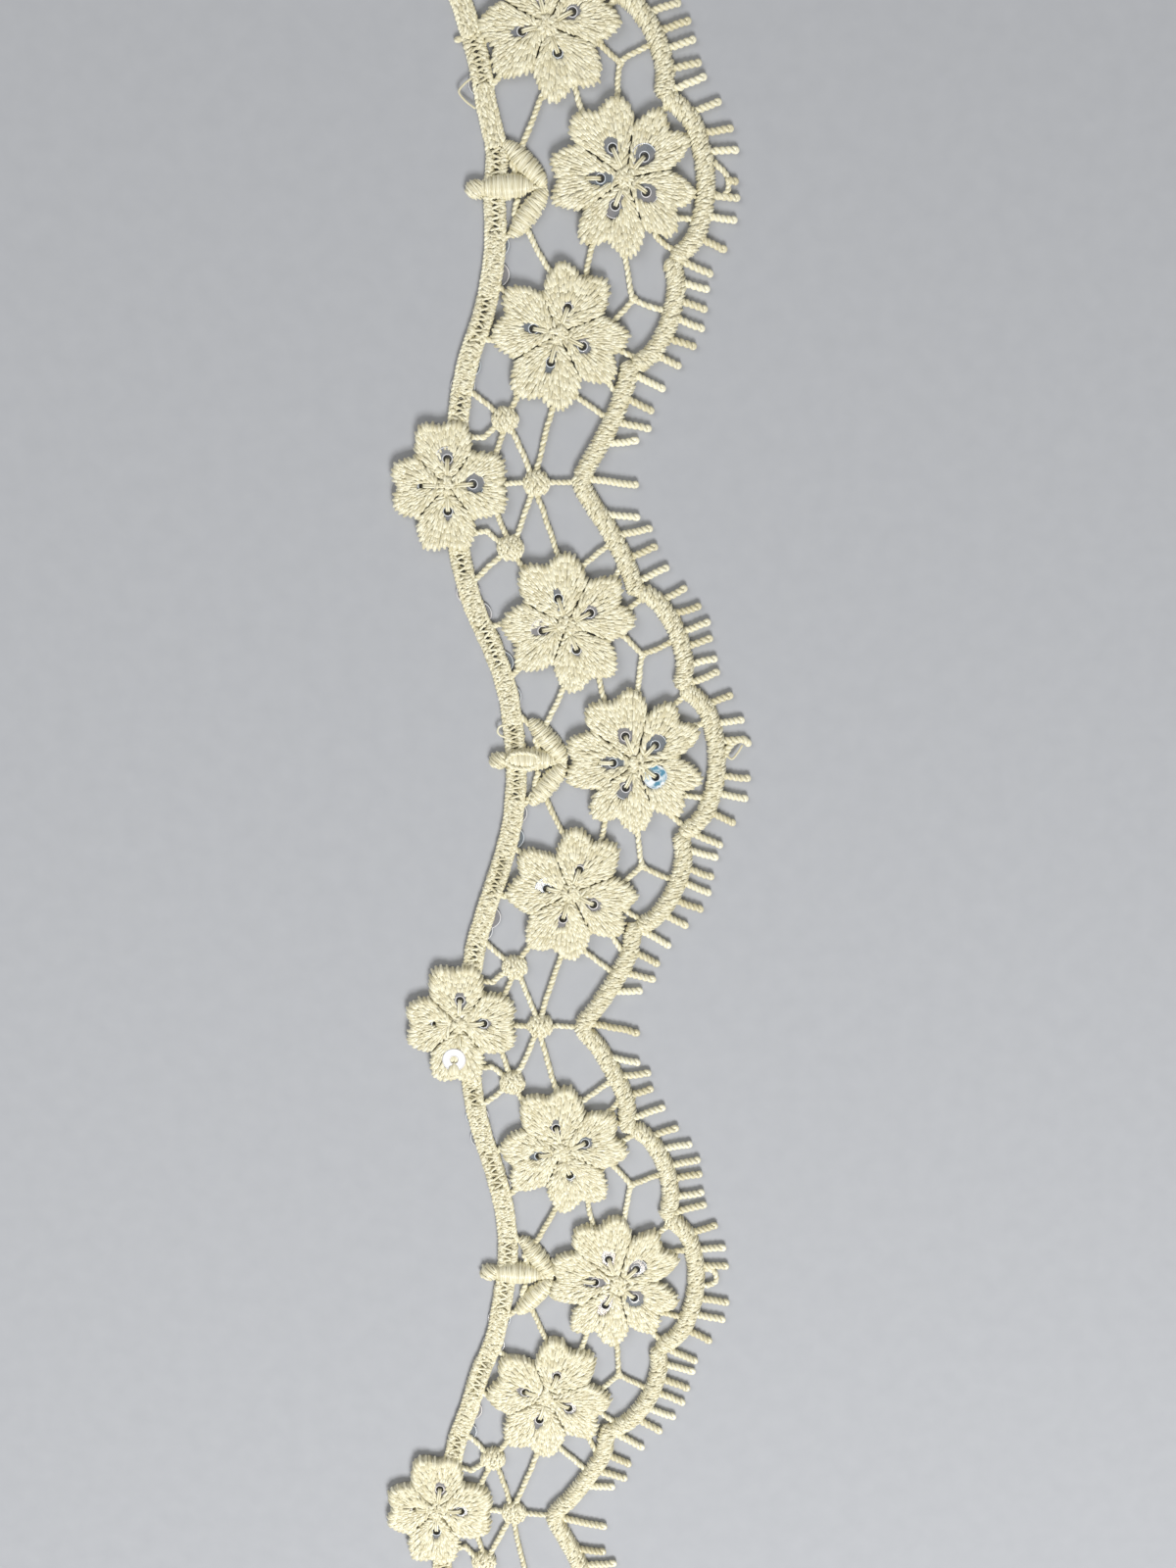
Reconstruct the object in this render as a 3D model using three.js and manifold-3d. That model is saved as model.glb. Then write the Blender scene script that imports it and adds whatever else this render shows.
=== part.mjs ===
// Sequin guipure edging: a cut length of heavy scalloped lace that lies flat in a gentle arc. Each scallop
// holds one five-petal flower, with a four-petal flower on either side and another in each valley. Twisted
// bars join them to an open braided foot on one edge and to a satin cord with picots on the other. A clear
// sequin sits in each petal. Sizes are in millimetres. The strip is built straight, with +Y along it and +X
// from the foot to the picots, and then bent to its lay. It rests on Z = 0.
import * as THREE from "three";
import Module from "manifold-3d";
import { mergeVertices } from "three/addons/utils/BufferGeometryUtils.js";

const wasm = await Module();
wasm.setup();

const PITCH = 68.55; // from one valley to the next
const HALF = PITCH / 2; // from a valley to a peak, where the pattern mirrors
const VALLEYS = 3;
const PEAKS = 3;
const LOW_END = 10.4; // how far the cut length runs past its first valley
const HIGH_END = 5.9; // how far it stops short of the valley after its last peak
const LAY_RADIUS = 1161; // the arc in which the strip lies
const MIDDLE = (VALLEYS * PITCH - HIGH_END - LOW_END) / 2;

const SEQUIN = { radius: 1.5, hole: 0.5, low: 1.2, high: 1.35, sides: 10 };
// One sequin slipped out over its petal: along the strip, across it and up.
const SLIPPED = { name: "sequin_valley2_3", along: -1.6, across: -0.6, up: 0.35 };
const NOT_SLIPPED = { along: 0, across: 0, up: 0 };
const EDGE_Z = 0.8; // the height at which a stitched edge turns over
const DISH_Z = 0.85; // the petal's hollow under its sequin
const CROWN_Z = 1.5; // the top of a petal
const SLIT_Z = 0.82; // the groove between two petals
const HUB = { radius: 1.0, top: 1.1 };
const DISH_MARGIN = 0.3; // the dish reaches this far past the sequin
const DISH_SHARE = 0.72; // where the outline comes close, the dish ends at this share of it
const CROWN_SHARE = 0.86;
const EYELET = { long: 0.95, wide: 0.75, curve: 3, below: 1, depth: 4 };

// One half of a petal's outline, from its middle outwards: the angle as a share of the half petal, and how
// far the radius falls from the petal's reach, as shares of the way to its middle notch and to the slit
// beside it.
const PETAL = [
  { angle: 0, notch: 1, slit: 0 },
  { angle: 0.2, notch: 0.4, slit: 0 },
  { angle: 0.45, notch: 0, slit: 0 },
  { angle: 0.74, notch: 0, slit: 0.48 },
];

// Angles are in degrees from the way to the peak (u) towards the picots (w). Each petal starts at a slit
// between petals, whose inner end lies at the radius slit. Its sequin sits at the angle eye and the radius
// eyeAt. A spread over 1 sets the petal's lobes wider apart.
const FLOWERS = {
  valley: {
    u: 0,
    w: -16.1,
    petals: [
      { start: -44, slit: 5.0, notch: 7.4, reach: 8.0, eye: 4, eyeAt: 3.3 },
      { start: 38, slit: 5.1, notch: 6.9, reach: 7.5, eye: 86, eyeAt: 3.2 },
      { start: 140, slit: 4.9, notch: 7.4, reach: 8.0, eye: 178, eyeAt: 3.0 },
      { start: 223, slit: 5.2, notch: 6.0, reach: 6.9, eye: 272, eyeAt: 2.8 },
    ],
  },
  side: {
    u: 17.2,
    w: -2.1,
    petals: [
      { start: -22, slit: 5.0, notch: 7.1, reach: 8.4, eye: 20, eyeAt: 3.2 },
      { start: 68, slit: 5.6, notch: 7.0, reach: 8.4, eye: 116, eyeAt: 3.2 },
      { start: 152, slit: 5.9, notch: 7.7, reach: 8.8, eye: 195, eyeAt: 3.4 },
      { start: 240, slit: 5.8, notch: 6.7, reach: 8.0, eye: 281, eyeAt: 3.0 },
    ],
  },
  peak: {
    u: HALF,
    w: 6.2,
    petals: [
      { start: 11, slit: 5.9, notch: 7.3, reach: 8.7, eye: 45, eyeAt: 3.2 },
      { start: 83, slit: 5.0, notch: 6.8, reach: 8.4, eye: 127, eyeAt: 2.8 },
      { start: 163, slit: 6.0, notch: 7.3, reach: 8.8, eye: 206, eyeAt: 3.3, spread: 1.15 },
      { start: 237, slit: 5.6, notch: 8.0, reach: 9.0, eye: 273, eyeAt: 3.0 },
      { start: 308, slit: 6.8, notch: 8.2, reach: 9.3, eye: 338, eyeAt: 3.7, spread: 1.25 },
    ],
  },
};

// Where each flower strays from the regular pattern: along and across the strip in millimetres, and turned
// in degrees.
const PLACED = [
  { kind: "valley", name: "valley1", valley: 0, side: 1, along: -0.2, across: 0.2, turn: -1 },
  { kind: "side", name: "lower1", valley: 0, side: 1, along: 0.4, across: -0.3, turn: -1 },
  { kind: "peak", name: "peak1", valley: 0, side: 1, along: -0.2, across: -0.4, turn: 0 },
  { kind: "side", name: "upper1", valley: 1, side: -1, along: -0.5, across: -0.2, turn: 0 },
  { kind: "valley", name: "valley2", valley: 1, side: 1, along: 0.1, across: 0.1, turn: -1 },
  { kind: "side", name: "lower2", valley: 1, side: 1, along: 0.5, across: 0, turn: 0 },
  { kind: "peak", name: "peak2", valley: 1, side: 1, along: -0.1, across: -0.1, turn: -1 },
  { kind: "side", name: "upper2", valley: 2, side: -1, along: 0, across: -0.3, turn: 1 },
  { kind: "valley", name: "valley3", valley: 2, side: 1, along: 0, across: -0.3, turn: 1 },
  { kind: "side", name: "lower3", valley: 2, side: 1, along: 0.2, across: -0.1, turn: 3 },
  { kind: "peak", name: "peak3", valley: 2, side: 1, along: 0.3, across: 0.5, turn: 0 },
  { kind: "side", name: "upper3", valley: 3, side: -1, along: -0.6, across: 0.9, turn: -3 },
];

// Half a repeat, from a valley (u = 0) to a peak (u = HALF), with w across the strip.
const CORD = {
  width: 2.3,
  top: 1.35,
  low: [
    { u: 0, w: -0.2 },
    { u: 2.6, w: 1.2, stray: "cord" },
    { u: 5, w: 2.7, stray: "cord" },
    { u: 7.5, w: 4.1, stray: "cord" },
    { u: 10, w: 5.2, stray: "cord" },
    { u: 12, w: 5.8 },
    { u: 13.9, w: 6.2 },
  ],
  middle: [
    { u: 13.2, w: 6.5 },
    { u: 14.5, w: 8.6 },
    { u: 16, w: 9.8 },
    { u: 17.5, w: 10.7 },
    { u: 20, w: 11.6 },
    { u: 22.5, w: 12.0 },
    { u: 25.4, w: 11.5 },
  ],
  high: [
    { u: 25.1, w: 11.6 },
    { u: 26.3, w: 13.3 },
    { u: 27.8, w: 14.6 },
    { u: 30, w: 15.4 },
    { u: 32.2, w: 15.9 },
    { u: HALF, w: 16.0 },
  ],
};

// The foot, and the places where each half strays.
const RAIL = {
  width: 2.6,
  top: 1.15,
  path: [
    { u: 6.2, w: -14.9, stray: "near" },
    { u: 10, w: -14.4, stray: "near" },
    { u: 15, w: -13.1, stray: "near" },
    { u: 20, w: -11.4, stray: "middle" },
    { u: 25, w: -9.7, stray: "far" },
    { u: 30, w: -9.0, stray: "far" },
    { u: HALF, w: -8.8 },
  ],
};
// How far the cord and the foot of each half stray towards the picots, in the rows that name a column.
const STRAYS = [
  { valley: 0, side: 1, cord: 0.5, near: 0.5, middle: -0.1, far: -0.2 },
  { valley: 1, side: -1, cord: 0.6, near: 0.5, middle: 0.5, far: 0.2 },
  { valley: 1, side: 1, cord: 0.3, near: 0.4, middle: 0.3, far: 0 },
  { valley: 2, side: -1, cord: -0.2, near: -0.5, middle: -0.1, far: -0.2 },
  { valley: 2, side: 1, cord: -0.1, near: 0.1, middle: 0.4, far: 0.1 },
  { valley: 3, side: -1, cord: 0, near: 2.7, middle: 2.0, far: 0.8 },
];

const BAR = { width: 0.8, top: 0.75 };
const BARS = [
  { u: 1.2, w: -5.6, toU: 10.0, toW: -2.9 },
  { u: 1.2, w: -6.2, toU: 6.9, toW: -8.5 },
  { u: 6.8, w: -9.2, toU: 3.0, toW: -10.6 },
  { u: 7.3, w: -9.8, toU: 5.6, toW: -11.8 },
  { u: 5.6, w: -11.5, toU: 6.1, toW: -14.4 },
  { u: 8.3, w: -9.8, toU: 11.7, toW: -13.6 },
  { u: 8.6, w: -8.5, toU: 11.6, toW: -6.6 },
  { u: 6.9, w: 3.8, toU: 10.8, toW: -1.2 },
  { u: 9.4, w: 4.9, toU: 13.0, toW: 2.7 },
  { u: 14.3, w: 6.7, toU: 15.8, toW: 4.3 },
  { u: 21.1, w: 6.5, toU: 19.3, toW: 10.8 },
  { u: 21.3, w: 7.1, toU: 17.9, toW: 3.6 },
  { u: 20.7, w: 6.8, toU: 26.3, toW: 6.1 },
  { u: 23.2, w: 1.3, toU: 27.6, toW: 2.4 },
  { u: 23.9, w: -2.4, toU: 30.4, toW: -5.6 },
  { u: 21.4, w: -7.0, toU: 23.9, toW: -9.7 },
  { u: 16.9, w: -9.0, toU: 17.3, toW: -12.0 },
  { u: 26.1, w: 12.1, toU: 28.3, toW: 9.6 },
  { u: 29.6, w: 14.6, toU: 30.1, toW: 11.6 },
  { u: 28.5, w: -8.2, toU: 29.9, toW: -6.8 },
  { u: 33.0, w: -6.1, toU: 31.3, toW: -6.6 },
];
const VALLEY_BARS = [
  { w: -0.7, toW: -5 },
  { w: -6.2, toW: -10.4 },
];

const PICOT = { width: 0.9, top: 0.78, uneven: 0.12 };
const PICOTS = [
  { u: 4.5, w: 3.3, toU: 4.8, toW: 7.3 },
  { u: 6.9, w: 4.6, toU: 6.1, toW: 8.8 },
  { u: 9.6, w: 5.7, toU: 8.1, toW: 9.2 },
  { u: 12.6, w: 6.6, toU: 10.6, toW: 10.7 },
  { u: 15.0, w: 8.9, toU: 13.2, toW: 12.7 },
  { u: 16.6, w: 10.5, toU: 15.4, toW: 14.5 },
  { u: 18.7, w: 11.8, toU: 17.4, toW: 15.6 },
  { u: 20.6, w: 12.2, toU: 19.4, toW: 15.9 },
  { u: 22.9, w: 12.3, toU: 21.9, toW: 16.4 },
  { u: 25.2, w: 12.4, toU: 23.5, toW: 16.8 },
  { u: 27.8, w: 14.8, toU: 26.2, toW: 18.4 },
  { u: 30.0, w: 16.0, toU: 29.4, toW: 19.8 },
  { u: 32.2, w: 16.3, toU: 31.9, toW: 20.2 },
];
// How the picots of each half stray from the table: at the root along u, then at the tip along u and
// outwards.
const PICOT_STRAY = [
  { valley: 0, side: 1, root: 0.2, tip: 0.1, longer: 0.4 },
  { valley: 1, side: -1, root: -0.6, tip: -0.3, longer: 0 },
  { valley: 1, side: 1, root: 0.4, tip: 0.2, longer: 0.1 },
  { valley: 2, side: -1, root: -0.5, tip: -0.3, longer: -0.4 },
  { valley: 2, side: 1, root: -0.1, tip: -0.2, longer: -0.3 },
  { valley: 3, side: -1, root: -0.6, tip: -0.2, longer: -0.1 },
];
const VALLEY_PICOT = { u: 0.1, w: 0.6, toU: 1.0, toW: 7.1 };
// One more near each peak, on the side that the table gives.
const PEAK_PICOT = { u: 33.4, w: 16.4, toU: 33.0, toW: 19.2 };
const PEAK_PICOT_HALVES = [
  { valley: 0, side: 1 },
  { valley: 2, side: -1 },
  { valley: 2, side: 1 },
];

const KNOTS = [{ u: 7.7, w: -9.0, radius: 1.6 }];
const VALLEY_KNOT = { w: -5.6, radius: 1.5 };
const KNOT = { sides: 8, top: 1.3 };
const LEAF = { u: 28.9, w: -7.1, toU: 34.1, toW: -2.7, width: 2.6, top: 1.4, blunt: 0.6 };
const TAB = { u: HALF + 0.3, w: -12.2, toW: -4.6, width: 2.8, top: 1.65, blunt: 0.4 };
const TAB_BAR = { u: HALF, w: -5.2, toW: -2.7 };
const SPARE = 0.03; // points that move the surface less than this are left out of the joined lace
const SAME_POINT = 0.0001; // points closer than this are one
const MOUND_POINTS = 5; // points along each side of a leaf
const MOUND_TOP = 0.55; // the flat top of a mound, as a share of its outline
const STRAND_TOP = 0.84; // the top of a thin strand, as a share of its width
const LEAST_MITRE = 0.6; // the cosine at which a strand's corner stops growing
const END_SLACK = 0.2; // how far a piece may reach over the end of its half

// A repeatable unevenness from -1 to 1 for each whole number.
function uneven(number) {
  const wave = Math.sin(number * 12.9898) * 43758.5453;
  return 2 * (wave - Math.floor(wave)) - 1;
}

// The point (u, w) of the half repeat on one side of a valley, in the straight strip.
function place(half, u, w) {
  return { x: w, y: half.valley * PITCH + half.side * u };
}

function flatArea(points) {
  let area = 0;
  points.forEach((a, i) => {
    const b = points[(i + 1) % points.length];
    area += (a.x * b.y - b.x * a.y) / 2;
  });
  return area;
}

// A closed solid from rings of equal count, from the lowest to the top, with a fan over each end.
function solidFromRings(rings, bottom, top) {
  const count = rings[0].length;
  const points = [bottom, ...rings.flat(), top];
  const last = points.length - 1;
  const faces = [];
  for (let i = 0; i < count; i += 1) {
    const next = (i + 1) % count;
    faces.push(0, 1 + next, 1 + i);
    for (let ring = 0; ring + 1 < rings.length; ring += 1) {
      const low = 1 + ring * count;
      const high = low + count;
      faces.push(low + i, low + next, high + next, low + i, high + next, high + i);
    }
    const end = 1 + (rings.length - 1) * count;
    faces.push(end + i, end + next, last);
  }
  return toSolid(toGeometry(points, faces));
}

function toGeometry(points, faces) {
  const geometry = new THREE.BufferGeometry();
  const positions = points.flatMap((p) => [p.x, p.y, p.z]);
  geometry.setAttribute("position", new THREE.Float32BufferAttribute(positions, 3));
  geometry.setIndex(faces);
  return geometry;
}

function toSolid(geometry) {
  const bare = new THREE.BufferGeometry();
  bare.setAttribute("position", geometry.getAttribute("position").clone());
  bare.setIndex(geometry.getIndex());
  const merged = mergeVertices(bare, SAME_POINT);
  const mesh = new wasm.Mesh({
    numProp: 3,
    vertProperties: new Float32Array(merged.getAttribute("position").array),
    triVerts: new Uint32Array(merged.getIndex().array),
  });
  return new wasm.Manifold(mesh);
}

function join(solids) {
  let row = solids;
  while (row.length > 1) {
    const pairs = [];
    for (let i = 0; i < row.length; i += 2) {
      pairs.push(i + 1 < row.length ? row[i].add(row[i + 1]) : row[i]);
    }
    row = pairs;
  }
  return row[0];
}

// Sections of a strand, as offsets across it and heights: a thin one is square, and a wide one has a ridge.
const squareSection = (width, top) => [
  [-width / 2, 0],
  [width / 2, 0],
  [(STRAND_TOP * width) / 2, top],
  [(-STRAND_TOP * width) / 2, top],
];
const ridgedSection = (width, top) => [
  [-width / 2, 0],
  [width / 2, 0],
  [width / 2, EDGE_Z],
  [0, top],
  [-width / 2, EDGE_Z],
];

// A strand that lies flat along a path, with mitred corners.
function strand(path, section) {
  const points = [];
  path.forEach((point, i) => {
    const before = path[Math.max(i - 1, 0)];
    const after = path[Math.min(i + 1, path.length - 1)];
    const into = new THREE.Vector2(point.x - before.x, point.y - before.y).normalize();
    const out = new THREE.Vector2(after.x - point.x, after.y - point.y).normalize();
    const way = into.clone().add(out).normalize();
    const stretch = 1 / Math.max(way.dot(i > 0 ? into : out), LEAST_MITRE);
    const acrossX = way.y * stretch;
    const acrossY = -way.x * stretch;
    section.forEach(([across, z]) => {
      points.push({ x: point.x + across * acrossX, y: point.y + across * acrossY, z });
    });
  });
  const sides = section.length;
  const faces = [];
  for (let corner = 1; corner + 1 < sides; corner += 1) {
    const end = points.length - sides;
    faces.push(0, corner, corner + 1, end, end + corner + 1, end + corner);
  }
  for (let i = 0; i + 1 < path.length; i += 1) {
    for (let corner = 0; corner < sides; corner += 1) {
      const a = i * sides + corner;
      const b = i * sides + ((corner + 1) % sides);
      faces.push(a, a + sides, b + sides, a, b + sides, b);
    }
  }
  return toSolid(toGeometry(points, faces));
}

const bar = (from, to) => strand([from, to], squareSection(BAR.width, BAR.top));

// A low mound over an outline: a straight edge, then a slope to a smaller top.
function mound(outline, top) {
  const points = flatArea(outline) > 0 ? outline : [...outline].reverse();
  const middle = { x: 0, y: 0 };
  points.forEach((p) => {
    middle.x += p.x / points.length;
    middle.y += p.y / points.length;
  });
  const towards = (from, to, share) => from + share * (to - from);
  const ring = (share, z) =>
    points.map((p) => ({ x: towards(middle.x, p.x, share), y: towards(middle.y, p.y, share), z }));
  const rings = [ring(1, 0), ring(1, EDGE_Z), ring(MOUND_TOP, top)];
  return solidFromRings(rings, { ...middle, z: 0 }, { ...middle, z: top });
}

function knot(centre, radius) {
  const outline = [];
  for (let i = 0; i < KNOT.sides; i += 1) {
    const angle = ((i + 0.5) / KNOT.sides) * 2 * Math.PI;
    outline.push({ x: centre.x + radius * Math.cos(angle), y: centre.y + radius * Math.sin(angle) });
  }
  return mound(outline, KNOT.top);
}

// A leaf between two points: blunt = 0 gives square ends and 1 a lens.
function leaf(from, to, width, top, blunt) {
  const along = new THREE.Vector2(to.x - from.x, to.y - from.y);
  const across = new THREE.Vector2(-along.y, along.x).normalize();
  const outline = [];
  for (const side of [1, -1]) {
    for (let i = 0; i < MOUND_POINTS; i += 1) {
      const share = (i + 0.5) / MOUND_POINTS;
      const t = side > 0 ? share : 1 - share;
      const half = 0.5 * width * side * Math.sin(Math.PI * t) ** blunt;
      const end = 0.5 + (t - 0.5) * (MOUND_POINTS / (MOUND_POINTS - 1));
      const spot = along.clone().multiplyScalar(end).addScaledVector(across, half);
      outline.push({ x: from.x + spot.x, y: from.y + spot.y });
    }
  }
  return mound(outline, top);
}

function flowerCentre(flower) {
  const kind = FLOWERS[flower.kind];
  return place(flower, kind.u + flower.along, kind.w + flower.across);
}

// A point at an angle and a radius from a flower's centre.
function fromCentre(flower, degrees, radius) {
  const centre = flowerCentre(flower);
  const angle = THREE.MathUtils.degToRad(degrees + flower.turn);
  return { x: centre.x + radius * Math.sin(angle), y: centre.y + flower.side * radius * Math.cos(angle) };
}

function flowerOutline(kind) {
  const outline = [];
  kind.petals.forEach((petal, i) => {
    const after = kind.petals[(i + 1) % kind.petals.length];
    const end = after.start + (after.start < petal.start ? 360 : 0);
    const half = (end - petal.start) / 2;
    const dishEnd = petal.eyeAt + SEQUIN.radius + DISH_MARGIN;
    outline.push({ angle: petal.start, radius: petal.slit, dishEnd, crown: SLIT_Z, dish: SLIT_Z });
    const add = (row, side) => {
      const slit = side < 0 ? petal.slit : after.slit;
      const fall = row.notch * (petal.reach - petal.notch) + row.slit * (petal.reach - slit);
      const angle = petal.start + half * (1 + side * row.angle * (petal.spread ?? 1));
      outline.push({ angle, radius: petal.reach - fall, dishEnd, crown: CROWN_Z, dish: DISH_Z });
    };
    [...PETAL].reverse().forEach((row) => add(row, -1));
    PETAL.slice(1).forEach((row) => add(row, 1));
  });
  return outline;
}

function flowerBody(flower) {
  const outline = flowerOutline(FLOWERS[flower.kind]);
  const centre = flowerCentre(flower);
  const ring = (radiusOf, heightOf) => {
    const spot = (row) => fromCentre(flower, row.angle, radiusOf(row));
    const points = outline.map((row) => ({ ...spot(row), z: heightOf(row) }));
    return flower.side > 0 ? points.reverse() : points;
  };
  const rings = [
    ring((row) => row.radius, () => 0),
    ring((row) => row.radius, () => EDGE_Z),
    ring((row) => CROWN_SHARE * row.radius, (row) => row.crown),
    ring((row) => Math.min(row.dishEnd, DISH_SHARE * row.radius), (row) => row.dish),
    ring(() => HUB.radius, () => DISH_Z),
  ];
  return solidFromRings(rings, { ...centre, z: 0 }, { ...centre, z: HUB.top });
}

// The eyelets of a flower, as one cutter for each petal.
function eyelets(flower) {
  return FLOWERS[flower.kind].petals.map((petal) => {
    const centre = flowerCentre(flower);
    const spot = fromCentre(flower, petal.eye, petal.eyeAt);
    const shape = new THREE.Shape();
    shape.absellipse(0, 0, EYELET.long, EYELET.wide, 0, 2 * Math.PI, false, 0);
    const depth = { depth: EYELET.depth, bevelEnabled: false, curveSegments: EYELET.curve };
    const hole = new THREE.ExtrudeGeometry(shape, depth);
    hole.rotateZ(Math.atan2(spot.y - centre.y, spot.x - centre.x));
    hole.translate(spot.x, spot.y, -EYELET.below);
    return toSolid(withIndex(hole));
  });
}

function withIndex(geometry) {
  const bare = new THREE.BufferGeometry();
  bare.setAttribute("position", geometry.getAttribute("position"));
  return mergeVertices(bare, SAME_POINT);
}

// The stretches of the pattern that the cut length holds, each on one side of a valley.
function halves() {
  const list = [];
  for (let valley = 0; valley < VALLEYS; valley += 1) {
    list.push({ valley, side: -1, from: 0, to: valley === 0 ? LOW_END : HALF });
    list.push({ valley, side: 1, from: 0, to: HALF });
  }
  list.push({ valley: VALLEYS, side: -1, from: HIGH_END, to: HALF });
  return list;
}

const holds = (half, ...us) => us.every((u) => u >= half.from && u <= half.to + END_SLACK);

// A table's path on one half, cut where the half is cut.
function pathOn(half, rows) {
  const points = [];
  const strays = find(STRAYS, half.valley, half.side);
  const across = (row) => row.w + (strays?.[row.stray] ?? 0);
  rows.forEach((row, i) => {
    if (holds(half, row.u)) {
      points.push(place(half, row.u, across(row)));
    }
    const next = rows[i + 1];
    for (const cut of [half.from, half.to]) {
      if (next && (row.u - cut) * (next.u - cut) < 0) {
        const share = (cut - row.u) / (next.u - row.u);
        points.push(place(half, cut, across(row) + share * (across(next) - across(row))));
      }
    }
  });
  return points;
}

// The same path on the two halves that meet at a valley or a peak, joined there.
function pathAcross(before, after, rows, meetsAtEnd) {
  const one = before ? pathOn(before, rows) : [];
  const other = after ? pathOn(after, rows) : [];
  if (meetsAtEnd) {
    return [...one, ...other.reverse().slice(one.length ? 1 : 0)];
  }
  return [...one.reverse(), ...other.slice(one.length ? 1 : 0)];
}

const find = (list, valley, side) => list.find((half) => half.valley === valley && half.side === side);

function cordAndRail(list) {
  const solids = [];
  const cord = (path) => solids.push(strand(path, ridgedSection(CORD.width, CORD.top)));
  const rail = (path) => solids.push(strand(path, ridgedSection(RAIL.width, RAIL.top)));
  for (let valley = 0; valley <= VALLEYS; valley += 1) {
    cord(pathAcross(find(list, valley, -1), find(list, valley, 1), CORD.low, false));
  }
  for (let peak = 0; peak < PEAKS; peak += 1) {
    cord(pathAcross(find(list, peak, 1), find(list, peak + 1, -1), CORD.high, true));
    rail(pathAcross(find(list, peak, 1), find(list, peak + 1, -1), RAIL.path, true));
  }
  list.filter((half) => holds(half, HALF)).forEach((half) => cord(pathOn(half, CORD.middle)));
  rail(pathOn(find(list, 0, -1), RAIL.path));
  return solids;
}

function picot(half, row, number) {
  const none = { root: 0, tip: 0, longer: 0 };
  const stray = find(PICOT_STRAY, half.valley, half.side) ?? none;
  const toU = row.toU + stray.tip + PICOT.uneven * uneven(number);
  const toW = row.toW + stray.longer + PICOT.uneven * uneven(number + 0.5);
  const root = place(half, row.u + stray.root, row.w);
  return strand([root, place(half, toU, toW)], squareSection(PICOT.width, PICOT.top));
}

function picots(list) {
  const solids = [];
  const add = (half, row) => solids.push(picot(half, row, solids.length));
  list.forEach((half) => {
    PICOTS.filter((row) => holds(half, row.u, row.toU)).forEach((row) => add(half, row));
  });
  for (let valley = 0; valley < VALLEYS; valley += 1) {
    add({ valley, side: -1 }, VALLEY_PICOT);
  }
  PEAK_PICOT_HALVES.forEach((half) => add(half, PEAK_PICOT));
  return solids;
}

function barsKnotsAndLeaves(list) {
  const solids = [];
  list.forEach((half) => {
    BARS.filter((row) => holds(half, row.u, row.toU)).forEach((row) => {
      solids.push(bar(place(half, row.u, row.w), place(half, row.toU, row.toW)));
    });
    KNOTS.filter((row) => holds(half, row.u - row.radius, row.u + row.radius)).forEach((row) => {
      solids.push(knot(place(half, row.u, row.w), row.radius));
    });
    if (holds(half, HALF)) {
      const from = place(half, LEAF.u, LEAF.w);
      solids.push(leaf(from, place(half, LEAF.toU, LEAF.toW), LEAF.width, LEAF.top, LEAF.blunt));
    }
  });
  for (let valley = 0; valley < VALLEYS; valley += 1) {
    const half = { valley, side: 1 };
    solids.push(knot(place(half, 0, VALLEY_KNOT.w), VALLEY_KNOT.radius));
    VALLEY_BARS.forEach((row) => solids.push(bar(place(half, 0, row.w), place(half, 0, row.toW))));
  }
  for (let peak = 0; peak < PEAKS; peak += 1) {
    const half = { valley: peak, side: 1 };
    const from = place(half, TAB.u, TAB.w);
    solids.push(leaf(from, place(half, TAB.u, TAB.toW), TAB.width, TAB.top, TAB.blunt));
    solids.push(bar(place(half, TAB_BAR.u, TAB_BAR.w), place(half, TAB_BAR.u, TAB_BAR.toW)));
  }
  return solids;
}

// The straight strip's point (x, y) where the strip lies in its arc.
function bend(x, y) {
  const angle = (y - MIDDLE) / LAY_RADIUS;
  const radius = LAY_RADIUS + x;
  return { x: radius * Math.cos(angle) - LAY_RADIUS, y: radius * Math.sin(angle), angle };
}

function laceGeometry() {
  const list = halves();
  const flowers = PLACED.map(flowerBody);
  const rest = [...cordAndRail(list), ...picots(list), ...barsKnotsAndLeaves(list)];
  const cut = join(PLACED.flatMap(eyelets));
  const mesh = join([...flowers, ...rest]).subtract(cut).asOriginal().simplify(SPARE).getMesh();
  const geometry = new THREE.BufferGeometry();
  const positions = new Float32Array(mesh.numVert * 3);
  for (let i = 0; i < mesh.numVert; i += 1) {
    const [x, y, z] = mesh.vertProperties.subarray(i * mesh.numProp, i * mesh.numProp + 3);
    const laid = bend(x, y);
    positions.set([laid.x, laid.y, z], i * 3);
  }
  geometry.setAttribute("position", new THREE.BufferAttribute(positions, 3));
  geometry.setIndex(Array.from(mesh.triVerts));
  geometry.computeVertexNormals();
  return geometry;
}

function sequinGeometry() {
  const section = [
    new THREE.Vector2(SEQUIN.hole, SEQUIN.low),
    new THREE.Vector2(SEQUIN.radius, SEQUIN.low),
    new THREE.Vector2(SEQUIN.radius, SEQUIN.high),
    new THREE.Vector2(SEQUIN.hole, SEQUIN.high),
    new THREE.Vector2(SEQUIN.hole, SEQUIN.low),
  ];
  const geometry = new THREE.LatheGeometry(section, SEQUIN.sides);
  geometry.rotateX(Math.PI / 2);
  return geometry;
}

const THREAD = new THREE.MeshStandardMaterial({ color: 0xe2ddbe, roughness: 0.6, metalness: 0 });
const FILM = new THREE.MeshStandardMaterial({ color: 0xdfe6ee, roughness: 0.15, metalness: 0 });

const part = new THREE.Group();
part.name = "sequin_guipure_edging";

const lace = new THREE.Mesh(laceGeometry(), THREAD);
lace.name = "lace";
lace.geometry.computeBoundingBox();
const middle = lace.geometry.boundingBox.getCenter(new THREE.Vector3());
lace.geometry.translate(-middle.x, -middle.y, 0);
part.add(lace);

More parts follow.
